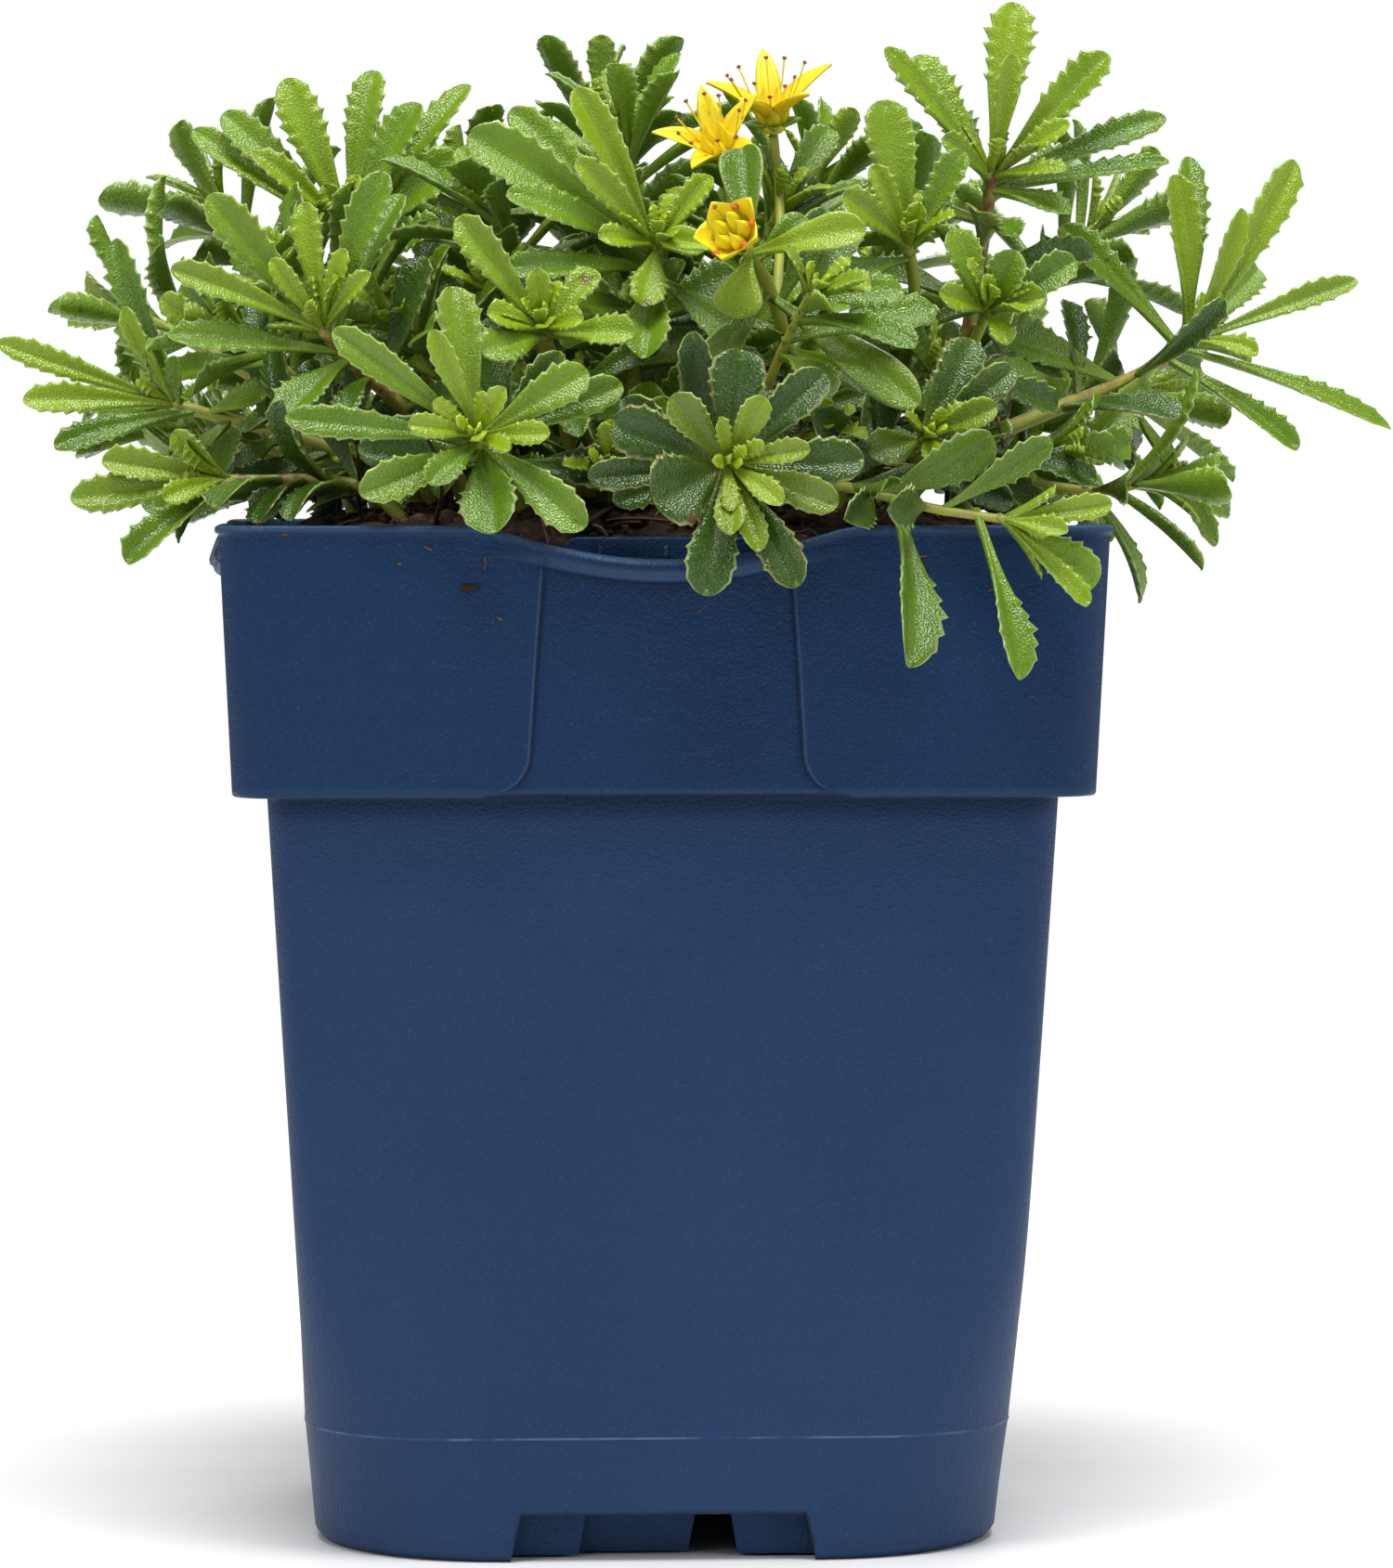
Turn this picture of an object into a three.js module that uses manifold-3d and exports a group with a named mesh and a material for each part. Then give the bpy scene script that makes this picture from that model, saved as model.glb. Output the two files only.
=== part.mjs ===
// A gold stonecrop growing in a square nursery pot. Millimetres, +Z up, front towards -Y.
// The origin is the middle of the pot's underside.
import * as THREE from 'three';
import { mergeVertices } from 'three/addons/utils/BufferGeometryUtils.js';
import Module from 'manifold-3d';

const wasm = await Module();
wasm.setup();

// Pot sizes. Each half is half the width across the flats, each radius that of the outer corner.
const POT_HEIGHT = 107;
const WALL = 1.2;
const FLOOR_TOP = 6.2;
const FLOOR_UNDERSIDE = 5;
const CORNER_STEPS = 4;
// How far joined pieces reach into each other, and a cutter past what it cuts.
const JOIN = 0.3;
const OVERCUT = 1;
const FOOT = { z: 0, half: 35.4, radius: 20 };
const HEEL = { z: 1.2, half: 36, radius: 20.2 };
const SEAM = { z: 13, half: 37, radius: 15.8 };
const KNEE = { z: 24, half: 37.4, radius: 8.8 };
const WAIST = { z: 42, half: 38.4, radius: 4.4 };
const NECK = { z: 79.4, half: 40.6, radius: 4 };
const SKIRT_HEM = { z: 79.5, half: 44.1, radius: 4.2 };
const SKIRT_TOP = { z: 106.2, half: 45.35, radius: 4.2 };
const BEAD_PROUD = 0.4;

// The shallow panel between the thick corner panels of the skirt, on each side.
const PANEL_TOP_HALF = 12.4;
const PANEL_HEM_HALF = 13.8;
const PANEL_FLARE = 4.6;
const PANEL_ROUNDING = 0.3;
const PANEL_DEPTH = 0.45;

// The dipped lip at the middle of each rim side, with the label pocket behind it.
const DIP_HALF = 19;
const DIP_ROUNDING = 1.15;
const LIP_HALF = 16;
const LIP_DROP = 3.4;
const LIP_RADIUS = 1.1;
const LIP_BULGE = 1.2;
const LIP_STEPS = 6;
const POCKET_HALF = 10.5;
const POCKET_DEPTH = 2.2;
const POCKET_TOP = 105.8;
const POCKET_FLOOR = 97;

// The water gate in each side of the foot, the baffles behind it and the hub under the floor.
const GATE_HALF_LOW = 16;
const GATE_HALF_HIGH = 14.7;
const HUB_RADIUS = 7;
const HUB_SIDES = 10;
const BAFFLE_THICKNESS = 1.4;
const BAFFLE_FOOT = 0.3;
const DRAIN_RADIUS = 4;
const DRAIN_OFFSET = 19;
const DRAIN_SIDES = 6;
const BAFFLES = [
  { from: -16.2, to: -8.2, back: 2.7 },
  { from: -8.6, to: 3, back: 4.9 },
  { from: 7.3, to: 15.7, back: 2.7 },
];

// Soil, stems and leaves.
const GAP = 0.3;
const SOIL_EDGE = 103.4;
const SOIL_CROWN = 5.4;
const SOIL_ROUGHNESS = 0.5;
const SOIL_SHOULDER = 1.5;
const SOIL_RING_SHARES = [0.97, 0.86, 0.68, 0.47, 0.24];
const HOLE_DEPTH = 7;
const STEM_SIDES = 4;
const STEM_STEP = 8;
const STEM_ARRIVAL = 0.9;
const STEM_TAPER = 0.62;
const HOLE_SIDES = 4;
const LEAF_THICKNESS = 0.8;
const LEAF_HOLLOW = 0.1;
const LEAF_FOLD = 0.34;
const LEAF_WIDEST = 0.74;
const LEAF_SPOON = 2.1;
// A folded leaf looks narrower than it is, so widths read off the plant are opened by this.
const FOLD_GAIN = 1.08;
const PETIOLE_WIDTH = 0.2;
const LEAF_ROOT = -0.04;
const CLEARANCE = 1.85;
const SAMPLE_STEP = 1.8;
const LEAF_TO_POT = 1.1;
const GOLDEN_ANGLE = 137.5;
// Leaves turn their upper face to the light: forwards on the front shoots, elsewhere outwards.
const LIGHT_SIDE = [0, -1, 0.15];
const PLANT_HEART = [0, -8, 118];
const FRONT_PULL = 1.7;
const OUTWARD_PULL = 0.85;
const SMALLEST_EDGE = 0.1;

const sum = (a, b) => [a[0] + b[0], a[1] + b[1], a[2] + b[2]];
const scaled = (a, k) => [a[0] * k, a[1] * k, a[2] * k];
const along = (a, b, k) => sum(a, scaled(b, k));
const less = (a, b) => along(a, b, -1);
const dot = (a, b) => a[0] * b[0] + a[1] * b[1] + a[2] * b[2];
const cross = (a, b) => [
  a[1] * b[2] - a[2] * b[1],
  a[2] * b[0] - a[0] * b[2],
  a[0] * b[1] - a[1] * b[0],
];
const size = (a) => Math.sqrt(dot(a, a));
const unit = (a) => scaled(a, 1 / size(a));
const radians = (degrees) => degrees * Math.PI / 180;

// Turns a vector about a unit axis.
function turned(vector, axis, degrees) {
  const cosine = Math.cos(radians(degrees));
  const sine = Math.sin(radians(degrees));
  const lift = dot(axis, vector) * (1 - cosine);
  return along(along(scaled(vector, cosine), cross(axis, vector), sine), axis, lift);
}

// A seeded draw between 0 and 1.
function drawer(seed) {
  let state = seed;
  return () => {
    state = (state + 0x6d2b79f5) >>> 0;
    let mix = Math.imul(state ^ (state >>> 15), state | 1);
    mix = (mix + Math.imul(mix ^ (mix >>> 7), mix | 61)) ^ mix;
    return ((mix ^ (mix >>> 14)) >>> 0) / 4294967296;
  };
}

// A closed solid from points and faces; faces of more than three points are fans.
function solid(points, faces) {
  const triangles = [];
  for (const face of faces) {
    for (let i = 1; i < face.length - 1; i += 1) {
      triangles.push(face[0], face[i], face[i + 1]);
    }
  }
  return new wasm.Manifold(new wasm.Mesh({
    numProp: 3,
    vertProperties: new Float32Array(points.flat()),
    triVerts: new Uint32Array(triangles),
  }));
}

function solidFromGeometry(geometry) {
  const plain = geometry.index ? geometry.toNonIndexed() : geometry.clone();
  plain.deleteAttribute('normal');
  plain.deleteAttribute('uv');
  const merged = mergeVertices(plain, 1e-4);
  return new wasm.Manifold(new wasm.Mesh({
    numProp: 3,
    vertProperties: new Float32Array(merged.attributes.position.array),
    triVerts: new Uint32Array(merged.index.array),
  }));
}

const union = (solids) => wasm.Manifold.union(solids);

// Rings of equal length stacked into a closed body, with a fan at each end.
function stacked(rings) {
  const count = rings[0].length;
  const faces = [rings[0].map((_, i) => count - 1 - i)];
  for (let ring = 0; ring < rings.length - 1; ring += 1) {
    for (let i = 0; i < count; i += 1) {
      const next = (i + 1) % count;
      const low = ring * count;
      const high = low + count;
      faces.push([low + i, low + next, high + next], [low + i, high + next, high + i]);
    }
  }
  faces.push(rings[0].map((_, i) => (rings.length - 1) * count + i));
  return solid(rings.flat(), faces);
}

// A square with round corners at one height, seen from above counterclockwise.
function squareRing({ z, half, radius }) {
  const ring = [];
  for (let corner = 0; corner < 4; corner += 1) {
    const middle = radians(45 + 90 * corner);
    const x = Math.sign(Math.cos(middle)) * (half - radius);
    const y = Math.sign(Math.sin(middle)) * (half - radius);
    for (let step = 0; step <= CORNER_STEPS; step += 1) {
      const angle = radians(90 * (corner + step / CORNER_STEPS));
      ring.push([x + radius * Math.cos(angle), y + radius * Math.sin(angle), z]);
    }
  }
  return ring;
}

const inset = ({ z, half, radius }, depth) => ({ z, half: half - depth, radius: radius - depth });

function sectionAt(low, high, z) {
  const k = (z - low.z) / (high.z - low.z);
  return {
    z,
    half: low.half + k * (high.half - low.half),
    radius: low.radius + k * (high.radius - low.radius),
  };
}

function box(from, to) {
  const geometry = new THREE.BoxGeometry(to[0] - from[0], to[1] - from[1], to[2] - from[2]);
  geometry.translate((from[0] + to[0]) / 2, (from[1] + to[1]) / 2, (from[2] + to[2]) / 2);
  return solidFromGeometry(geometry);
}

// An outline drawn in the front plane and pushed back from one depth to another.
function frontPrism(outline, from, to) {
  const shape = new THREE.Shape(outline.map(([x, z]) => new THREE.Vector2(x, z)));
  const geometry = new THREE.ExtrudeGeometry(shape, { depth: to - from, bevelEnabled: false });
  geometry.rotateX(Math.PI / 2);
  geometry.translate(0, to, 0);
  return solidFromGeometry(geometry);
}

function onFourSides(piece) {
  return union([0, 90, 180, 270].map((degrees) => piece.rotate([0, 0, degrees])));
}

// A tapering rod through a line of points, closed flat at its foot and to a point at its tip.
function rod(path, footRadius, tipRadius, sides) {
  const rings = [];
  let side = unit(cross(less(path[1], path[0]), [0.31, 1, 0.17]));
  path.forEach((point, index) => {
    const before = path[Math.max(index - 1, 0)];
    const after = path[Math.min(index + 1, path.length - 1)];
    const forward = unit(less(after, before));
    side = unit(along(side, forward, -dot(side, forward)));
    const up = cross(forward, side);
    const radius = footRadius + (tipRadius - footRadius) * index / (path.length - 1);
    const ring = [];
    for (let i = 0; i < sides; i += 1) {
      const angle = 2 * Math.PI * i / sides;
      ring.push(along(along(point, side, radius * Math.cos(angle)), up, radius * Math.sin(angle)));
    }
    rings.push(ring);
  });
  return stacked(rings);
}

function dipHeight(x) {
  const across = Math.min(Math.abs(x) / DIP_HALF, 1);
  return SKIRT_TOP.z - LIP_DROP * (1 - across * across) ** DIP_ROUNDING;
}

function potLip() {
  const path = [];
  const face = -(SKIRT_TOP.half - JOIN);
  for (let step = 0; step <= LIP_STEPS; step += 1) {
    const across = 2 * step / LIP_STEPS - 1;
    const bulge = LIP_BULGE * (1 - across * across);
    path.push([across * LIP_HALF, face - bulge, dipHeight(across * LIP_HALF) - JOIN]);
  }
  return rod(path, LIP_RADIUS, LIP_RADIUS, 4);
}

// A label pocket: a U of thin wall standing off the inside of the skirt, open above and below.
function potPocket() {
  const face = -(SKIRT_TOP.half - WALL);
  const inner = face + POCKET_DEPTH;
  const block = box([-POCKET_HALF, face - JOIN, POCKET_FLOOR], [POCKET_HALF, inner + WALL, POCKET_TOP]);
  const slot = box(
    [-POCKET_HALF + WALL, face - OVERCUT, POCKET_FLOOR - OVERCUT],
    [POCKET_HALF - WALL, inner, POCKET_TOP + OVERCUT],
  );
  return block.subtract(slot);
}

function makePot() {
  const neckInside = inset(NECK, WALL);
  const outline = [
    FOOT,
    HEEL,
    SEAM,
    KNEE,
    WAIST,
    NECK,
    SKIRT_HEM,
    SKIRT_TOP,
    inset(SKIRT_TOP, -BEAD_PROUD),
    inset({ ...SKIRT_TOP, z: POT_HEIGHT }, -BEAD_PROUD),
    inset({ ...SKIRT_TOP, z: POT_HEIGHT }, WALL),
    inset({ ...SKIRT_HEM, z: SKIRT_HEM.z + WALL }, WALL),
    { ...neckInside, z: SKIRT_HEM.z + WALL - 0.1 },
    inset(WAIST, WALL),
    inset(KNEE, WALL),
    inset(SEAM, WALL),
    inset(sectionAt(HEEL, SEAM, FLOOR_TOP), WALL),
  ];
  const shell = stacked(outline.map(squareRing));

  const underfloor = [inset({ ...FOOT, z: -OVERCUT }, WALL), inset(HEEL, WALL)];
  underfloor.push(inset(sectionAt(HEEL, SEAM, FLOOR_UNDERSIDE), WALL));
  const hubHeight = FLOOR_UNDERSIDE + JOIN;
  const hub = new THREE.CylinderGeometry(HUB_RADIUS, HUB_RADIUS, hubHeight, HUB_SIDES);
  hub.rotateX(Math.PI / 2);
  hub.translate(0, 0, hubHeight / 2);
  const baffles = BAFFLES.map(({ from, to, back }) => {
    const y = -FOOT.half + back;
    return box([from, y, BAFFLE_FOOT], [to, y + BAFFLE_THICKNESS, FLOOR_UNDERSIDE + JOIN]);
  });
  const gate = frontPrism([
    [-GATE_HALF_LOW, -OVERCUT],
    [GATE_HALF_LOW, -OVERCUT],
    [GATE_HALF_HIGH, FLOOR_UNDERSIDE],
    [-GATE_HALF_HIGH, FLOOR_UNDERSIDE],
  ], -SEAM.half - OVERCUT, -FOOT.half + WALL + OVERCUT);

  const panelOutline = [
    [-PANEL_TOP_HALF, SKIRT_TOP.z],
    [-PANEL_HEM_HALF, SKIRT_HEM.z + PANEL_FLARE],
    [-PANEL_HEM_HALF - PANEL_FLARE * PANEL_ROUNDING, SKIRT_HEM.z + PANEL_FLARE * PANEL_ROUNDING],
    [-PANEL_HEM_HALF - PANEL_FLARE, SKIRT_HEM.z - OVERCUT],
  ];
  const mirrored = panelOutline.map(([x, z]) => [-x, z]).reverse();
  const lean = Math.atan((SKIRT_TOP.half - SKIRT_HEM.half) / (SKIRT_TOP.z - SKIRT_HEM.z));
  const panel = frontPrism([...panelOutline, ...mirrored], -SKIRT_TOP.half, 0)
    .translate([0, 0, -SKIRT_HEM.z])
    .rotate([THREE.MathUtils.radToDeg(lean), 0, 0])
    .translate([0, -SKIRT_HEM.half + PANEL_DEPTH, SKIRT_HEM.z]);

  const dip = [[DIP_HALF, POT_HEIGHT + OVERCUT], [-DIP_HALF, POT_HEIGHT + OVERCUT]];
  for (let step = 0; step <= LIP_STEPS; step += 1) {
    const x = DIP_HALF * (2 * step / LIP_STEPS - 1);
    dip.push([x, dipHeight(x)]);
  }
  const dipCut = frontPrism(dip, -SKIRT_TOP.half - OVERCUT, -SKIRT_TOP.half + WALL + JOIN);

  const drainReach = 2 * (WALL + OVERCUT);
  const drain = new THREE.CylinderGeometry(DRAIN_RADIUS, DRAIN_RADIUS, drainReach, DRAIN_SIDES);
  drain.rotateX(Math.PI / 2);
  drain.translate(DRAIN_OFFSET, DRAIN_OFFSET, FLOOR_TOP);
  return shell
    .subtract(stacked(underfloor.map(squareRing)))
    .add(solidFromGeometry(hub))
    .add(onFourSides(union(baffles)))
    .subtract(onFourSides(union([gate, panel, dipCut, solidFromGeometry(drain)])))
    .add(onFourSides(union([potLip(), potPocket()])));
}

// Height of the soil before its roughness: level with the skirt at the wall, crowned inside.
function soilHeight(x, y) {
  const reach = SKIRT_TOP.half - WALL;
  const edgeX = 1 - Math.min(Math.abs(x) / reach, 1) ** 4;
  const edgeY = 1 - Math.min(Math.abs(y) / reach, 1) ** 4;
  return SOIL_EDGE + SOIL_CROWN * edgeX * edgeY;
}

function makeSoil(stems) {
  const draw = drawer(11);
  const depth = WALL + GAP;
  const rings = [
    inset(sectionAt(HEEL, SEAM, FLOOR_TOP + GAP), depth),
    inset(SEAM, depth),
    inset(KNEE, depth),
    inset(WAIST, depth),
    inset({ ...NECK, z: SKIRT_HEM.z + WALL + GAP - 0.1 }, depth),
    inset({ ...SKIRT_HEM, z: SKIRT_HEM.z + WALL + GAP }, depth),
    inset(sectionAt(SKIRT_HEM, SKIRT_TOP, SOIL_EDGE - SOIL_SHOULDER), depth),
  ].map(squareRing);
  const rim = rings[rings.length - 1];
  for (const share of SOIL_RING_SHARES) {
    rings.push(rim.map(([x, y]) => {
      const rough = SOIL_ROUGHNESS * (2 * draw() - 1);
      return [x * share, y * share, soilHeight(x * share, y * share) + rough];
    }));
  }
  const pocketBack = -(SKIRT_TOP.half - WALL) + POCKET_DEPTH + WALL + GAP;
  const pocketSide = POCKET_HALF + GAP;
  const pocketRoom = box(
    [-pocketSide, -SKIRT_TOP.half, POCKET_FLOOR - GAP],
    [pocketSide, pocketBack, POT_HEIGHT + OVERCUT],
  );
  const holes = stems.map(({ path, radius }) => {
    const into = unit(less(path[1], path[0]));
    const ends = [along(path[0], into, -GAP), along(path[1], into, OVERCUT)];
    const holeRadius = (radius + GAP) / Math.cos(Math.PI / HOLE_SIDES);
    return rod(ends, holeRadius, holeRadius, HOLE_SIDES);
  });
  return stacked(rings).subtract(union([onFourSides(pocketRoom), ...holes]));
}

// A smooth curve from the root in the soil to the shoot's tip, leaving it along its own lean.
function stemPath({ root, apex, lean, rise }) {
  const upward = unit(rise ?? [0, 0, 1]);
  const start = [root[0], root[1], soilHeight(root[0], root[1]) + SOIL_ROUGHNESS];
  const foot = along(start, upward, -HOLE_DEPTH);
  const reach = size(less(apex, start));
  const leave = scaled(upward, reach);
  const arrive = scaled(unit(lean), reach * STEM_ARRIVAL);
  const steps = Math.max(4, Math.ceil(reach / STEM_STEP));
  const path = [foot];
  for (let step = 0; step <= steps; step += 1) {
    const t = step / steps;
    const a = 2 * t ** 3 - 3 * t ** 2 + 1;
    const b = t ** 3 - 2 * t ** 2 + t;
    const c = -2 * t ** 3 + 3 * t ** 2;
    const d = t ** 3 - t ** 2;
    path.push(along(along(along(scaled(start, a), leave, b), apex, c), arrive, d));
  }
  return path;
}

// The point at a distance back from the stem's tip, and the direction of growth there.
function pointBelowTip(path, distance) {
  let left = distance;
  for (let i = path.length - 1; i > 0; i -= 1) {
    const span = size(less(path[i], path[i - 1]));
    const growth = scaled(less(path[i], path[i - 1]), 1 / span);
    if (left <= span || i === 1) {
      return { point: along(path[i], growth, -left), growth };
    }
    left -= span;
  }
  return null;
}

// A leaf bends away from its upper face by its curl, in radians from foot to tip. Its upper
// face looks as nearly the given way as its chord lets it.
function makeLeaf(base, chord, look, length, width, curl, spoon = LEAF_SPOON) {
  const facing = unit(along(look, chord, -dot(look, chord)));
  const half = curl / 2;
  const stretch = Math.abs(half) < 1e-6 ? 1 : half / Math.sin(half);
  return {
    base,
    length: length * stretch,
    width,
    spoon,
    curl: Math.abs(curl) < 1e-6 ? 1e-6 : curl,
    forward: along(scaled(chord, Math.cos(half)), facing, Math.sin(half)),
    upper: along(scaled(facing, Math.cos(half)), chord, -Math.sin(half)),
  };
}

// A point on the leaf: share of the length from the foot, then across and above the rib in mm.
function leafPoint(leaf, share, across, above) {
  const bend = leaf.curl * share;
  const reach = leaf.length / leaf.curl;
  let point = along(leaf.base, leaf.forward, reach * Math.sin(bend));
  point = along(point, leaf.upper, -reach * (1 - Math.cos(bend)));
  const forward = along(scaled(leaf.forward, Math.cos(bend)), leaf.upper, -Math.sin(bend));
  const upper = along(scaled(leaf.upper, Math.cos(bend)), leaf.forward, Math.sin(bend));
  const side = cross(forward, upper);
  const lift = above + Math.abs(across) * Math.sin(LEAF_FOLD);
  return along(along(point, side, across * Math.cos(LEAF_FOLD)), upper, lift);
}

// Half the leaf's width at a share of its length: a narrow petiole, a spoon-shaped blade.
function leafHalfWidth(leaf, share) {
  const fullHalf = leaf.width / 2;
  if (share >= LEAF_WIDEST) {
    const past = (share - LEAF_WIDEST) / (1 - LEAF_WIDEST);
    return fullHalf * Math.max(1 - past ** 2.4, 0) ** 0.5;
  }
  const k = share / LEAF_WIDEST;
  const opened = k ** leaf.spoon * (1 + (leaf.spoon - 0.5) * (1 - k));
  return fullHalf * (PETIOLE_WIDTH + (1 - PETIOLE_WIDTH) * opened);
}

// The leaf's closed blade: a notched outline, with the rib's points above and below it.
const LEAF_OUTLINE = [[0.3, 1], [0.56, 1.08], [0.63, 0.9], [0.79, 1.1], [0.86, 0.88]];
const LEAF_RIB = [0.15, 0.68];

function leafSolid(leaf) {
  const points = [];
  for (const sign of [1, -1]) {
    for (const [share, tooth] of LEAF_OUTLINE) {
      points.push(leafPoint(leaf, share, sign * tooth * leafHalfWidth(leaf, share), 0));
    }
  }
  points.push(leafPoint(leaf, 1, 0, 0), leafPoint(leaf, LEAF_ROOT, 0, 0));
  for (const above of [LEAF_HOLLOW, LEAF_HOLLOW - LEAF_THICKNESS]) {
    for (const share of LEAF_RIB) {
      points.push(leafPoint(leaf, share, 0, above));
    }
  }
  const notches = LEAF_OUTLINE.length;
  const tip = 2 * notches;
  const root = tip + 1;
  const faces = [];
  for (const [rib, isBelow] of [[root + 1, false], [root + 3, true]]) {
    for (const [first, isRight] of [[0, false], [notches, true]]) {
      const half = [[rib, root, first], [rib, first, first + 1], [rib, first + 1, rib + 1]];
      for (let i = 1; i < notches - 1; i += 1) {
        half.push([rib + 1, first + i, first + i + 1]);
      }
      half.push([rib + 1, first + notches - 1, tip]);
      faces.push(...(isBelow === isRight ? half : half.map((face) => face.reverse())));
    }
  }
  return solid(points, faces);
}

function leafSamples(leaf) {
  const rows = Math.ceil(leaf.length * 0.9 / SAMPLE_STEP);
  const columns = Math.max(2, Math.ceil(leaf.width / SAMPLE_STEP));
  const samples = [];
  for (let row = 0; row <= rows; row += 1) {
    const share = 0.1 + 0.9 * row / rows;
    const half = leafHalfWidth(leaf, Math.min(share, 0.97));
    for (let column = 0; column <= columns; column += 1) {
      const across = half * (2 * column / columns - 1);
      samples.push(leafPoint(leaf, share, across, -LEAF_THICKNESS / 2));
    }
  }
  return samples;
}

// True where a point would be inside the pot's wall or the soil, or nearer than the margin.
function meetsPot([x, y, z], margin) {
  const out = Math.max(Math.abs(x), Math.abs(y));
  const wallOut = SKIRT_TOP.half + BEAD_PROUD + margin;
  const wallIn = SKIRT_TOP.half - WALL - margin;
  const lipRoom = Math.min(Math.abs(x), Math.abs(y)) < LIP_HALF + 1 ? 1.2 : 0;
  const pocketRoom = Math.min(Math.abs(x), Math.abs(y)) < POCKET_HALF + 1 ? POCKET_DEPTH + WALL : 0;
  if (z < POT_HEIGHT + margin && out < wallOut + lipRoom && out > wallIn - pocketRoom) {
    return true;
  }
  return out <= wallIn && z < soilHeight(x, y) + SOIL_ROUGHNESS + margin;
}

// What has been placed so far, in cells as wide as the clearance.
const cells = new Map();

function cellKey(i, j, k) {
  return (i + 512) * 1048576 + (j + 512) * 1024 + (k + 512);
}

function occupy(samples, owner) {
  for (const point of samples) {
    const [i, j, k] = point.map((value) => Math.floor(value / CLEARANCE));
    const key = cellKey(i, j, k);
    if (!cells.has(key)) {
      cells.set(key, []);
    }
    cells.get(key).push({ point, owner });
  }
}

function isFree(samples, owner) {
  for (const point of samples) {
    if (meetsPot(point, LEAF_TO_POT)) {
      return false;
    }
    const [i, j, k] = point.map((value) => Math.floor(value / CLEARANCE));
    for (let a = i - 1; a <= i + 1; a += 1) {
      for (let b = j - 1; b <= j + 1; b += 1) {
        for (let c = k - 1; c <= k + 1; c += 1) {
          for (const other of cells.get(cellKey(a, b, c)) ?? []) {
            if (other.owner !== owner && size(less(other.point, point)) < CLEARANCE) {
              return false;
            }
          }
        }
      }
    }
  }
  return true;
}

// Ways to bend a leaf clear of its neighbours: turn about the stem, lift, and length.
const BENDS = [
  [0, 0, 1], [8, 0, 1], [-8, 0, 1], [0, 8, 1], [0, -8, 1], [14, 6, 1], [-14, 6, 1], [14, -6, 1],
  [-14, -6, 1], [0, 16, 0.95], [0, -16, 0.95], [22, 0, 0.95], [-22, 0, 0.95], [24, 14, 0.9],
  [-24, 14, 0.9], [24, -14, 0.9], [-24, -14, 0.9], [0, 0, 0.8], [14, 8, 0.75], [-14, 8, 0.75],
  [36, 0, 0.85], [-36, 0, 0.85], [0, 26, 0.75], [0, -26, 0.75], [0, 0, 0.65],
];

function placeLeaf(shoot, wish) {
  const { point, growth } = pointBelowTip(shoot.path, wish.below);
  const swing = unit(cross(wish.chord, growth));
  const look = sum(growth, shoot.light);
  for (const [turn, lift, share] of BENDS) {
    const chord = turned(turned(wish.chord, swing, lift), growth, turn);
    const length = wish.length * share;
    const leaf = makeLeaf(point, chord, look, length, wish.width, wish.curl, wish.spoon);
    if (isFree(leafSamples(leaf), shoot.name)) {
      occupy(leafSamples(leaf), shoot.name);
      shoot.placed.push(leaf);
      return;
    }
  }
}

// Leaves listed by hand: how far the tip reaches right, back and up from the shoot's tip,
// the leaf's width, how far below the shoot's tip its foot stands, and how sharply it widens.
function listedLeaves(shoot) {
  const draw = drawer(shoot.seed);
  return shoot.leaves.map(([right, back, up, width, below, spoon]) => {
    const { point } = pointBelowTip(shoot.path, below);
    const reach = less(sum(shoot.apex, [right, back, up]), point);
    const curl = 0.15 + 0.4 * draw();
    return { below, chord: unit(reach), length: size(reach), width: width * FOLD_GAIN, curl, spoon };
  });
}

// Leaves by rule: round the stem by the golden angle, opening wider down the stem.
const CROWN_LEAF_BELOW = 0.8;
const LEAFY_LENGTH = 9;
const CROWN_OPENING = 18;
const FULL_OPENING = 62;
const YOUNG_SIZE = 0.55;
const SPIRAL_WIDTH = 4.4;

function spiralLeaves(shoot) {
  const draw = drawer(shoot.seed);
  const wishes = [];
  for (let i = 0; i < shoot.count; i += 1) {
    const age = i / Math.max(shoot.count - 1, 1);
    const below = CROWN_LEAF_BELOW + LEAFY_LENGTH * age ** 1.5;
    const { growth } = pointBelowTip(shoot.path, below);
    const sideways = unit(cross(growth, [0.2, 1, 0.1]));
    const open = CROWN_OPENING + FULL_OPENING * age ** 0.8 + 10 * (draw() - 0.5);
    const round = GOLDEN_ANGLE * i + 360 * shoot.seed / 7 + 16 * (draw() - 0.5);
    const outward = turned(sideways, growth, round);
    const chord = along(scaled(growth, Math.cos(radians(open))), outward, Math.sin(radians(open)));
    const grown = YOUNG_SIZE + (1 - YOUNG_SIZE) * Math.min(age * 2.2, 1);
    const length = shoot.length * grown * (0.86 + 0.28 * draw());
    const width = SPIRAL_WIDTH * (0.6 + 0.4 * grown) * (0.85 + 0.35 * draw());
    wishes.push({ below, chord: unit(chord), length, width, curl: 0.1 + 0.55 * draw() });
  }
  return wishes;
}

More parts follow.
